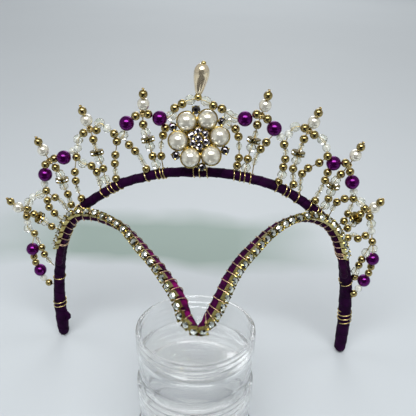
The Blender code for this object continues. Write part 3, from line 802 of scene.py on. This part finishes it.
EDGE_RIGHT = (
    ("wire", 2.4, 133.2), ("crystal", 5.1, 132.4), ("gold", 7.9, 130.8), ("gold", 10.7, 129.2),
    ("crystal", 13.3, 127.4), ("crystal", 15.6, 124.8), ("violet", 19.8, 125.9), ("gold", 24.0, 127.6),
    ("cross", 26.3, 127.3), ("gold", 28.7, 125.9), ("violet", 31.7, 121.8), ("pearl", 34.4, 118.3),
    ("gold", 36.1, 114.9), ("pearl", 37.5, 119.6), ("crystal", 40.0, 122.9), ("gold", 43.2, 122.6),
    ("cross", 45.2, 121.6), ("gold", 47.5, 119.8), ("crystal", 50.9, 117.9), ("pearl", 53.0, 114.2),
    ("gold", 54.2, 110.0), ("violet", 57.3, 107.0), ("gold", 61.0, 107.5), ("cross", 63.0, 106.4),
    ("gold", 64.0, 103.3), ("violet", 65.6, 98.3), ("pearl", 67.0, 93.5), ("gold", 67.5, 89.7),
    ("crystal", 70.6, 88.1), ("gold", 73.1, 85.3), ("cross", 74.7, 83.3), ("gold", 75.8, 80.8),
    ("crystal", 77.2, 77.0), ("pearl", 78.0, 72.6), ("gold", 79.4, 66.9), ("crystal", 80.3, 62.6),
    ("violet", 80.9, 56.7), ("gold", 81.5, 51.7), ("gold", 81.1, 47.7), ("violet", 79.7, 42.7),
    ("pearl", 77.1, 39.9, 3.5), ("gold", 75.4, 36.4, 3.5), ("wire", 75.0, 33.5, 2.8),
)

# %% The eight stems from the top bead to the foot: bead, x, z
STEMS = {
    "stem_left_1": (
        ("gold", -19.5, 134.4), ("finial", -19.7, 130.4), ("wire", -20.3, 126.2), ("gold", -20.4, 121.4),
        ("crystal", -19.7, 117.7), ("rondelle", -19.0, 114.6), ("crystal", -18.3, 111.4),
        ("gold", -17.2, 106.8), ("crystal", -16.3, 102.9),
    ),
    "stem_left_2": (
        ("gold", -44.3, 126.1), ("finial", -43.3, 122.5), ("wire", -42.4, 118.3), ("gold", -41.6, 113.6),
        ("seed", -41.3, 110.3), ("rondelle", -40.9, 107.4), ("crystal", -40.2, 104.1), ("gold", -39.2, 99.5),
        ("crystal", -38.9, 94.2),
    ),
    "stem_left_3": (
        ("gold", -64.9, 111.1), ("finial", -63.7, 107.6), ("wire", -61.8, 102.3), ("gold", -59.7, 98.9),
        ("crystal", -58.4, 95.8), ("rondelle", -58.0, 92.9), ("crystal", -57.7, 89.8), ("gold", -56.6, 85.3),
        ("seed", -56.3, 82.4), ("gold", -56.2, 79.5),
    ),
    "stem_left_4": (
        ("gold", -83.3, 79.4), ("finial", -81.0, 77.0), ("wire", -77.7, 74.0), ("gold", -74.2, 73.2),
        ("rondelle", -71.9, 71.2), ("crystal", -69.7, 68.9), ("gold", -67.2, 66.4),
    ),
    "stem_right_1": (
        ("gold", 28.3, 135.6), ("finial", 27.5, 131.7), ("wire", 26.3, 127.3), ("gold", 24.9, 123.2),
        ("seed", 24.4, 119.0), ("rondelle", 23.9, 116.2), ("crystal", 23.0, 112.9), ("gold", 21.9, 107.4),
        ("crystal", 21.2, 103.3),
    ),
    "stem_right_2": (
        ("gold", 47.9, 129.0), ("finial", 46.8, 125.5), ("wire", 45.2, 121.6), ("gold", 43.7, 117.7),
        ("seed", 42.9, 114.0), ("rondelle", 42.1, 111.1), ("crystal", 41.6, 107.8), ("gold", 40.7, 103.6),
        ("seed", 41.0, 99.8), ("gold", 41.6, 95.9),
    ),
    "stem_right_3": (
        ("gold", 66.3, 114.8), ("finial", 65.0, 111.4), ("wire", 63.0, 106.4), ("gold", 60.3, 101.7),
        ("crystal", 58.9, 98.9), ("rondelle", 58.2, 96.0), ("crystal", 57.6, 92.9), ("gold", 57.0, 89.4),
        ("crystal", 56.1, 85.8),
    ),
    "stem_right_4": (
        ("gold", 78.6, 88.6), ("finial", 77.2, 86.0), ("wire", 74.7, 83.3), ("gold", 71.6, 81.9),
        ("rondelle", 70.1, 79.4), ("crystal", 69.2, 77.0), ("gold", 67.6, 74.2),
    ),
}

# %% The strands from the valleys to the arch: bead, x, z
STRANDS = {
    "strand_left_1": (
        ("wire", -12.3, 122.2), ("gold", -11.7, 120.2), ("gold", -12.6, 116.9), ("seed", -13.7, 112.3),
        ("gold", -14.2, 107.0), ("wire", -13.4, 101.5),
    ),
    "strand_left_2": (
        ("wire", -29.3, 115.6), ("gold", -27.0, 111.7), ("gold", -24.7, 108.9), ("seed", -22.9, 106.2),
        ("seed", -21.7, 103.4), ("gold", -20.6, 100.4), ("wire", -21.0, 98.9),
    ),
    "strand_left_3": (
        ("wire", -32.1, 111.6), ("gold", -33.2, 106.6), ("gold", -33.8, 102.4), ("seed", -34.0, 98.4),
        ("gold", -34.1, 94.8), ("wire", -33.7, 94.0),
    ),
    "strand_left_4": (
        ("wire", -49.0, 103.5), ("crystal", -47.2, 101.6), ("gold", -44.4, 100.6), ("gold", -42.2, 97.9),
        ("seed", -41.7, 94.8), ("seed", -41.5, 92.0), ("wire", -41.4, 88.8),
    ),
    "strand_left_5": (
        ("wire", -50.4, 103.0), ("gold", -51.7, 97.2), ("gold", -52.0, 92.6), ("seed", -51.9, 88.3),
        ("gold", -50.8, 83.3), ("wire", -51.0, 81.0),
    ),
    "strand_left_6": (
        ("wire", -65.2, 85.2), ("gold", -62.7, 83.2), ("seed", -60.1, 81.0), ("seed", -58.6, 78.7),
        ("wire", -57.3, 73.4),
    ),
    "strand_left_7": (
        ("wire", -66.2, 84.8), ("gold", -66.5, 81.4), ("gold", -66.4, 77.6), ("gold", -64.5, 74.3),
        ("seed", -62.6, 71.6), ("wire", -60.6, 69.5),
    ),
    "strand_left_8": (
        ("wire", -76.0, 60.0), ("seed", -75.3, 57.4), ("gold", -74.5, 53.0), ("gold", -73.8, 48.8),
        ("seed", -72.3, 45.0), ("wire", -70.6, 42.2),
    ),
    "strand_right_1": (
        ("crystal", 13.4, 123.2), ("gold", 16.4, 121.0), ("gold", 17.7, 117.6), ("seed", 18.1, 113.3),
        ("gold", 18.2, 107.7), ("gold", 17.7, 104.0), ("wire", 17.0, 101.8),
    ),
    "strand_right_2": (
        ("wire", 31.6, 119.2), ("gold", 28.9, 115.5), ("gold", 26.8, 112.3), ("seed", 25.4, 109.3),
        ("seed", 24.6, 106.4), ("wire", 24.0, 100.2),
    ),
    "strand_right_3": (
        ("wire", 36.5, 113.6), ("seed", 37.0, 111.4), ("gold", 37.1, 108.1), ("gold", 36.6, 104.2),
        ("crystal", 36.4, 100.4), ("gold", 35.3, 97.0), ("wire", 35.4, 96.0),
    ),
    "strand_right_4": (
        ("wire", 53.0, 109.0), ("gold", 51.0, 107.0), ("gold", 46.8, 104.2), ("gold", 44.6, 101.4),
        ("seed", 44.3, 98.0), ("seed", 44.5, 94.4), ("wire", 44.7, 90.8),
    ),
    "strand_right_5": (
        ("wire", 54.6, 108.2), ("gold", 55.0, 102.6), ("gold", 54.4, 98.6), ("seed", 53.3, 94.6),
        ("seed", 52.3, 91.6), ("gold", 51.5, 88.0), ("wire", 50.2, 87.0),
    ),
    "strand_right_6": (
        ("wire", 66.0, 89.4), ("gold", 64.0, 89.6), ("gold", 60.9, 87.8), ("seed", 59.6, 84.6),
        ("wire", 58.2, 79.2),
    ),
    "strand_right_7": (
        ("wire", 67.6, 88.0), ("seed", 67.0, 85.2), ("gold", 66.4, 81.9), ("gold", 65.3, 77.7),
        ("wire", 62.2, 75.0),
    ),
    "strand_right_8": (
        ("wire", 78.6, 67.2), ("gold", 75.4, 70.0), ("gold", 72.4, 69.2), ("seed", 70.6, 69.0),
        ("gold", 68.7, 68.5), ("wire", 68.0, 65.4),
    ),
    "strand_right_9": (
        ("wire", 79.0, 64.9), ("crystal", 78.0, 60.2), ("gold", 77.0, 56.0), ("gold", 75.8, 52.4),
        ("crystal", 74.9, 48.5), ("gold", 75.2, 44.8), ("wire", 74.1, 42.9),
    ),
}
strings = {"edge_string_left": EDGE_LEFT, "edge_string_right": EDGE_RIGHT, **STEMS, **STRANDS}
print("beads:", sum(row[0] not in ("wire", "cross") for rows in strings.values() for row in rows))

# %% [markdown]
# ## Settling the beads
# Places read off a photograph are a little off, so some beads would sink into each other. Real beads push
# each other aside. A physics run could do that too, but a few rounds of pushing each touching pair apart
# are quicker and always end the same way. The photograph says where a bead is from the front but not how
# deep, so a bead that has moved half a millimetre sideways only yields in depth.

# %% Push touching beads apart
BEAD_RADIUS = {
    "gold": 1.8, "crystal": 1.95, "pearl": 1.7, "finial": 2.5, "violet": 3.0, "rondelle": 1.0, "seed": 1.2,
}
CROSS_FORWARD = 1.15
SIDEWAYS = 0.45
SETTLING_ROUNDS = 40


def strung(kind, x, z, forward=0.0):
    """A row of a table as its kind and place. A crossing string passes in front of its stem."""
    return [kind, on_fan(x, z, CROSS_FORWARD if kind == "cross" else forward)]


threads = {name: [strung(*row) for row in rows] for name, rows in strings.items()}
loose = [item for items in threads.values() for item in items if item[0] in BEAD_RADIUS]
homes = [place.copy() for kind, place in loose]


def yielded(place, home):
    """The place with its sideways move from home kept short."""
    moved = place - home
    sideways = math.hypot(moved.x, moved.z)
    if sideways > SIDEWAYS:
        moved.x *= SIDEWAYS / sideways
        moved.z *= SIDEWAYS / sideways
    return home + moved


for settling_round in range(SETTLING_ROUNDS):
    overlaps = 0
    for i, (kind, place) in enumerate(loose):
        for j in range(i + 1, len(loose)):
            other_kind, other = loose[j]
            room = BEAD_RADIUS[kind] + BEAD_RADIUS[other_kind] + 0.02
            if abs(other.x - place.x) > room or abs(other.z - place.z) > room:
                continue
            between = other - place
            if between.length >= room:
                continue
            between.y += 0.12 if (i + j) % 2 else -0.12
            push = between.normalized() * (room - between.length + 0.02)
            share = BEAD_RADIUS[other_kind] / (BEAD_RADIUS[kind] + BEAD_RADIUS[other_kind])
            place -= push * share
            other += push * (1 - share)
            loose[i][1][:] = yielded(place, homes[i])
            loose[j][1][:] = yielded(other, homes[j])
            overlaps += 1
print("beads still touching after settling:", overlaps)


# %% [markdown]
# ## Beads
# A bead's own axis lies along its string, so every copy is turned that way. Round beads are spheres with
# their poles at the holes. Crystals are cut like small barrels: a sphere of few segments with flat facets,
# which glints as a cut bead does and needs no cutting. A rondelle is two gold rims with a ring of tiny
# stones between them. It sits nearly edge-on to the front, and the two on the lowest stems show a little
# more of their face.

# %% Where each bead goes
LOW_STEM_Z = 85


def along_string(items, i):
    return (items[min(i + 1, len(items) - 1)][1] - items[max(i - 1, 0)][1]).normalized()


spots = {kind: [] for kind in BEAD_RADIUS}
for items in threads.values():
    for i, (kind, place) in enumerate(items):
        if kind in spots:
            axis = along_string(items, i)
            if kind == "rondelle":
                axis.y = 0.5 if place.z < LOW_STEM_Z else axis.z * 0.1
            spots[kind].append(facing(place, Vector((0, 1, 0.1)), axis))
print({kind: len(found) for kind, found in spots.items()})
EDGES = ("edge_string_left", "edge_string_right")
STEM_NODES = tuple(STEMS)
STRAND_NODES = tuple(STRANDS)


# %% Round beads
def ball(radius, sides, rings):
    return template(lambda work: bmesh.ops.create_uvsphere(
        work, u_segments=sides, v_segments=rings, radius=radius))


gold_balls = copies(ball(1.8, 14, 8), spots["gold"])
violet_balls = copies(ball(3.0, 28, 16), spots["violet"])
edge_balls = copies(ball(1.72, 18, 11), spots["pearl"])
finial_balls = copies(ball(2.5, 24, 14), spots["finial"])
from_bench("gold_beads", gold_balls, bead_gold, "gold_beads", *EDGES, *STEM_NODES, *STRAND_NODES)
from_bench("violet_pearls", violet_balls, violet, "violet_beads", *EDGES)
from_bench("edge_pearls", edge_balls, milky.material, "clear_stones", *EDGES)
from_bench("finial_pearls", finial_balls, ivory, "ivory_pearls", *STEM_NODES)


# %% Crystals and rondelles
def cut_bead(work):
    """A crystal cut in eight sides."""
    bmesh.ops.create_uvsphere(work, u_segments=8, v_segments=6, radius=2.12)


def long_seed(work):
    """A slim clear bead with flat facets, more than half as long again as it is thick."""
    bmesh.ops.create_uvsphere(work, u_segments=8, v_segments=6, radius=1.2)
    bmesh.ops.scale(work, vec=(1, 1, 1.6), verts=work.verts)


def rims(work):
    """A rondelle's two rims and the drum between them."""
    for lift in (-0.75, 0.75):
        own = set(cone(work, 16, (2.85, 2.85), 0.5, Matrix.Translation((0, 0, lift)))["verts"])
        hoop = [
            edge for edge in work.edges
            if own.issuperset(edge.verts) and abs(edge.verts[0].co.z - edge.verts[1].co.z) < 0.01
        ]
        cut_back(work, hoop, 0.14)
    cone(work, 12, (2.2, 2.2), 1.0)


def rim_stones(work):
    """The ten stones round a rondelle's drum."""
    for k in range(10):
        outward = rotation(36 * k, "Z") @ rotation(90, "Y")
        cone(work, 6, (0.72, 0.35), 0.8, outward @ Matrix.Translation((0, 0, 2.5)))


cut_beads = copies(template(cut_bead), spots["crystal"])
long_seeds = copies(template(long_seed), spots["seed"])
rim_pairs = copies(template(rims), spots["rondelle"])
stone_rings = copies(template(rim_stones), spots["rondelle"])
from_bench("crystals", cut_beads, crystal, "clear_stones", *EDGES, *STEM_NODES, *STRAND_NODES, crease=5)
from_bench("clear_seeds", long_seeds, crystal, "clear_stones", *STEM_NODES, *STRAND_NODES, crease=5)
from_bench("rondelle_rims", rim_pairs, bead_gold, "gold_beads", *STEM_NODES)
from_bench("rondelle_stones", stone_rings, foiled, "clear_stones", *STEM_NODES, crease=5)


# %% [markdown]
# ## String wires and bindings
# Thin gold wire runs through every string and is wound once or twice round the arch at most feet. Above
# each stem's top bead it is turned into a small stop loop, and where the outer string crosses a stem three
# turns of thicker wire bind the two. A wire could be a mesh tube, but a curve with a round section needs
# only its points, so all wires are curves.

# %% Wires through the beads
STRING_WIRE = 0.24
BINDING_WIRE = 0.26
LOOP_WIRE = 0.2
COLLAR_WIRE = 0.34
CLEAR_OF_RIBBON = 0.42
COIL_STEPS = 12


def coil(centre, along, radius, turns, pitch):
    """Points of a wire wound round a line."""
    up = along.orthogonal().normalized()
    side = along.cross(up)
    points = []
    for k in range(COIL_STEPS * turns + 1):
        angle = math.tau * k / COIL_STEPS
        travel = pitch * turns * (k / (COIL_STEPS * turns) - 0.5)
        points.append(centre + along * travel + (up * math.cos(angle) + side * math.sin(angle)) * radius)
    return points


def foot_of(items):
    """Where a string's last point meets the arch's surface."""
    place = items[-1][1]
    centre, along, radius = arch_near(place)
    out = (place - centre) - along * (place - centre).dot(along)
    return centre + out.normalized() * (radius + 0.4)


STEM_TURNS = 2
STRING_TURNS = {"edge_string_left": 0, "edge_string_right": 0, "strand_left_8": 0}
string_lines, stop_loops, feet = [], [], []
for name, items in threads.items():
    foot = foot_of(items)
    line = smooth([*(place for kind, place in items), foot], 3)
    string_lines.append((line, STRING_WIRE, False))
    feet.append((foot, STEM_TURNS if name in STEMS else STRING_TURNS.get(name, 1)))
    if name in STEMS:
        head = items[0][1] - along_string(items, 0) * 2.0
        across = Vector((1, 0.3, 0)).normalized()
        stop_loops.append((coil(head, across, 0.55, 2, 0.4), LOOP_WIRE, False))
        joint = items[2][1]
        stop_loops.append((coil(joint, along_string(items, 2), 0.95, 3, 0.62), COLLAR_WIRE, False))
wires("string_wires", string_lines, wire_gold, "gold_wire", *EDGES, *STEM_NODES, *STRAND_NODES)
wires("stop_loops", stop_loops, wire_gold, "gold_wire", *STEM_NODES)

# %% Bindings round the arch and legs
LEG_TIES = ((-69.4, 19.2, 2), (-68.4, 34.4, 1), (73.2, 21.9, 3))


def bound(place, turns, pitch, wire):
    """A few turns of wire round the arch, as near to a place as the arch comes."""
    centre, along, radius = arch_near(place)
    return coil(centre, along, radius + CLEAR_OF_RIBBON, turns, pitch), wire, False


bindings = [bound(foot, turns, 1.9, BINDING_WIRE) for foot, turns in feet if turns]
wires("foot_bindings", bindings, wire_gold, "gold_wire", *EDGES, *STEM_NODES, *STRAND_NODES)

leg_ties = [bound(Vector((x, LEG_Y, z)), turns, 2.2, BINDING_WIRE) for x, z, turns in LEG_TIES]
wires("leg_ties", leg_ties, wire_gold, "gold_wire", "leg_binding_left", "leg_binding_right")

# %% [markdown]
# Where the front wire's ends meet the legs, two turns of wire hold both together. A turn is an oval round
# leg and ribbon roll, and it sits by the last stone of the chain.

# %% Lashings at the legs
LASHING_CLIMBS = (1.0, 0.9)
lashings = []
for end_rows in (PEAK_END_LEFT, PEAK_END_RIGHT):
    band = Vector(end_rows[0])
    for climb in LASHING_CLIMBS:
        spot = band.lerp(Vector(end_rows[1]), -climb)
        centre, along, radius = arch_near(spot)
        across = (spot - centre) - along * (spot - centre).dot(along)
        out = across.normalized()
        side = along.cross(out)
        points = []
        for k in range(16):
            angle = math.tau * k / 16
            shift = across if math.cos(angle) > 0 else Vector((0, 0, 0))
            reach = PEAK_RADIUS + 0.5 if math.cos(angle) > 0.3 else radius + 0.45
            points.append(centre + shift + (out * math.cos(angle) + side * math.sin(angle)) * reach)
        lashings.append((points, TIE_WIRE, True))
wires("leg_lashings", lashings, tie_gold, "gold_wire", "lashing_left", "lashing_right")


# %% [markdown]
# ## The brooch
# Six large pearls sit in gold cups round a cluster of seven small grey stones, with a claw-set smoky stone
# between each two pearls. The whole flower faces the front. A cup could be cut out of a cylinder, but a
# spin turns its inside and outside from one profile in one step.

# %% Turning a profile
def lathe(profile, steps):
    """A closed shape turned from a profile of radius and height, as a bmesh."""
    work = bmesh.new()
    corners = [work.verts.new((radius, 0, height)) for radius, height in profile]
    for a, b in zip(corners, corners[1:]):
        work.edges.new((a, b))
    bmesh.ops.spin(
        work, geom=[*work.verts, *work.edges], cent=(0, 0, 0), axis=(0, 0, 1), angle=math.tau, steps=steps,
        use_merge=True,
    )
    bmesh.ops.remove_doubles(work, verts=work.verts, dist=0.001)
    bmesh.ops.recalc_face_normals(work, faces=work.faces)
    return work


# %% Brooch pearls, cups and stones
PETAL_RING = 8.3
CLAW_RING = 11.3
CLUSTER_RING = 3.0
brooch_frame = facing(Vector((2.2, 19.3, 117.4)), Vector((1, 0, 0)), Vector((0.08, -0.95, 0.3)))


def around(radius, degrees, lift):
    """A frame on the brooch, at a radius and an angle from its middle."""
    angle = math.radians(degrees)
    spot = Matrix.Translation((radius * math.cos(angle), radius * math.sin(angle), lift))
    return brooch_frame @ spot @ Matrix.Rotation(angle, 4, "Z")


petals = [around(PETAL_RING, 8 + 60 * k, 0) for k in range(6)]
claws = [around(CLAW_RING, 38 + 60 * k, 0) for k in range(6)]
cluster = [around(CLUSTER_RING, 38 + 60 * k, 0.9) for k in range(6)] + [around(0, 0, 1.5)]
from_bench("brooch_pearls", copies(ball(3.72, 36, 22), petals), ivory, "ivory_pearls", "brooch")

pearl_cup = mesh_of(lathe((
    (0, -3.5), (2.1, -3.4), (3.4, -2.2), (4.0, -1.1), (4.2, -0.3), (4.2, 0.3),
    (4.0, 0.5), (3.8, 0.35), (3.65, -0.8), (3.1, -2.0), (1.9, -3.0), (0, -3.1),
), 24), "template")


def small_cup(work):
    """A round cup with four claws."""
    cone(work, 12, (1.1, 1.75), 2.4, Matrix.Translation((0, 0, -1.3)))
    four_claws(work, (1.6, 0, 0.2), -20, 6, (0.36, 0.2), 1.2)


setting = copies(pearl_cup, petals)
copies(template(small_cup), [*claws, *cluster], setting)
cone(setting, 24, (5.4, 4.6), 3.4, brooch_frame @ Matrix.Translation((0, 0, -1.9)))
cone(setting, 30, (5.6, 6.4), 0.9, brooch_frame @ Matrix.Translation((0, 0, -3.6)))
from_bench("brooch_setting", setting, brooch_gold, "gold_wire", "brooch")
brooch_gem = template(lambda work: gem(work, 1.6, 0.8))
cluster_gems = copies(brooch_gem, tipped(cluster, 9))
edge_gems = copies(brooch_gem, tipped(claws, 9))
from_bench("brooch_cluster_stones", cluster_gems, dark_foiled, "clear_stones", "brooch", crease=5)
from_bench("brooch_edge_stones", edge_gems, smoky, "clear_stones", "brooch", crease=5)

# %% [markdown]
# The brooch stands on a short doubled wire, and three turns of thinner wire bind its foot to the arch.

# %% Brooch wires
STALK_WIRE = 0.45
BROOCH_X = 2.2
arch_top = arch_near(Vector((BROOCH_X, ARCH_TOP_Y, ARCH_TOP_Z)))[0]
back = brooch_frame @ Vector((0, -5.5, -3.2))
stalks = []
for shift in (-1.2, 1.2):
    sideways_shift = Vector((shift, 0, 0))
    bend = Vector((BROOCH_X, 25.0, 107.0))
    foot = arch_top + Vector((0, -0.9, 2.3))
    stalks.append((smooth([spot + sideways_shift for spot in (back, bend, foot)], 5), STALK_WIRE, False))
for shift in (-1.9, 0.3, 3.2):
    stalks.append(bound(Vector((BROOCH_X + shift, ARCH_TOP_Y, ARCH_TOP_Z)), 1, 0.9, STRING_WIRE))
wires("brooch_wires", stalks, wire_gold, "gold_wire", "brooch")

# %% [markdown]
# ## The drop
# A pear-shaped pearl stands point down on a small gold bead over the brooch, with a tinier bead on its
# head. A stretched sphere would be too full at its point, so it is turned from a profile and laid along its
# own slightly tilted axis.

# %% Pear pearl and its two beads
drop_foot = Vector((1.7, 18.9, 134.1))
drop_tip = Vector((3.7, 18.0, 148.7))
drop_frame = facing(drop_foot, Vector((1, 0, 0)), drop_tip - drop_foot)
pear = mesh_of(lathe((
    (0, 1.1), (0.9, 1.15), (1.25, 1.45), (1.5, 2.1), (1.78, 3.0), (2.06, 4.0), (2.35, 5.1), (2.66, 6.5),
    (2.9, 7.9), (3.0, 9.0), (2.98, 10.0), (2.78, 11.0), (2.35, 11.9), (1.7, 12.65), (0.9, 13.1), (0, 13.25),
), 48), "template")
from_bench("drop_pearl", copies(pear, [drop_frame]), cream, "ivory_pearls", "pearl_drop", crease=80)
drop_head = drop_frame @ Matrix.Translation((0.2, 0, 13.4)) @ Matrix.Diagonal((1, 1, 0.7, 1))
drop_beads = copies(ball(1.5, 16, 10), [drop_frame])
copies(ball(1.0, 12, 8), [drop_head], drop_beads)
from_bench("drop_beads", drop_beads, brooch_gold, "gold_beads", "pearl_drop")

# %% [markdown]
# ## The jars
# Three clear stacking jars carry the point. Each has a shallow cup on top with a screw thread inside its
# rim, and a skirt below that sits in the jar underneath. The wall is one closed profile, spun round,
# because light bends rightly only in a closed wall. A thread made as a coil of its own would cut into that
# wall, so the cup's inner side is pushed in along a helix instead: the push depends on height and angle
# together, so it climbs one pitch in each turn.

# %% Jar wall
JAR_CENTRE = (6.0, -29.5)
JAR_PITCH = 20.96
CUP_RADIUS = 20.1
THREAD_PITCH = 2.3
THREAD_DEPTH = 0.72
THREAD_FROM = 14.2
THREAD_TO = 19.6


def fine(rows, step):
    """The profile with extra points so that no stretch is longer than the step."""
    found = [rows[0]]
    for a, b in zip(rows, rows[1:]):
        pieces = max(1, math.ceil(math.dist(a, b) / step))
        for k in range(1, pieces + 1):
            found.append((a[0] + (b[0] - a[0]) * k / pieces, a[1] + (b[1] - a[1]) * k / pieces))
    return found


def jar(name, rows, level):
    """One jar of the stack: its wall turned from the rows, and the thread pushed into its cup."""
    work = lathe(rows, 72)
    for vert in work.verts:
        radius = math.hypot(vert.co.x, vert.co.y)
        climb = vert.co.z / THREAD_PITCH - math.atan2(vert.co.y, vert.co.x) / math.tau
        fade = min(1.0, max(0.0, vert.co.z - THREAD_FROM)) * min(1.0, max(0.0, THREAD_TO - vert.co.z))
        if abs(radius - CUP_RADIUS) < 0.2 and fade > 0:
            ridge = (1 - math.cos(climb * math.tau)) * THREAD_DEPTH * 0.5 * fade
            vert.co.x *= (radius - ridge) / radius
            vert.co.y *= (radius - ridge) / radius
    bmesh.ops.translate(work, vec=(*JAR_CENTRE, JAR_PITCH * level), verts=work.verts)
    from_bench(name.replace("jar", "clear_jar"), work, plastic, "clear_plastic", name, crease=28)


CUP_WALL = (
    (CUP_RADIUS, 13.6), (CUP_RADIUS, 20.3), (20.35, 20.62), (20.9, 20.66), (21.35, 20.5), (21.5, 20.1),
    (21.5, 13.6),
)
SKIRT = (
    (21.2, 12.4), (20.5, 11.0), (20.4, 9.9), (20.75, 8.6), (20.9, 7.2), (20.8, 5.6), (20.2, 3.4), (20.3, 2.9),
    (19.9, 2.4), (19.9, 0.3), (19.7, 0.0),
)
OPEN_FLOOR = ((0, 11.3), (13.1, 11.3), (13.4, 11.42), (16.6, 11.6), (18.6, 11.9), (19.9, 12.3))
OPEN_UNDER = (
    (19.0, 0.0), (18.9, 0.3), (18.9, 2.4), (19.3, 3.2), (19.9, 5.6), (20.0, 7.2), (19.8, 8.6), (19.4, 9.9),
    (18.6, 10.7), (13.4, 10.5), (0, 10.5),
)
open_rows = [*OPEN_FLOOR, *fine(CUP_WALL[:2], 0.2), *CUP_WALL[2:], *SKIRT, *OPEN_UNDER]
flat_rows = [
    (0, 1.5), (17.6, 1.5), (18.6, 2.0), (19.3, 4.0), (19.6, 7.0), (19.6, 12.0), *fine(CUP_WALL[:2], 0.25),
    *CUP_WALL[2:], *SKIRT, (18.8, 0.0), (0, 0.0),
]
jar("jar_base", flat_rows, 0)
jar("jar_middle", open_rows, 1)
jar("jar_top", open_rows, 2)
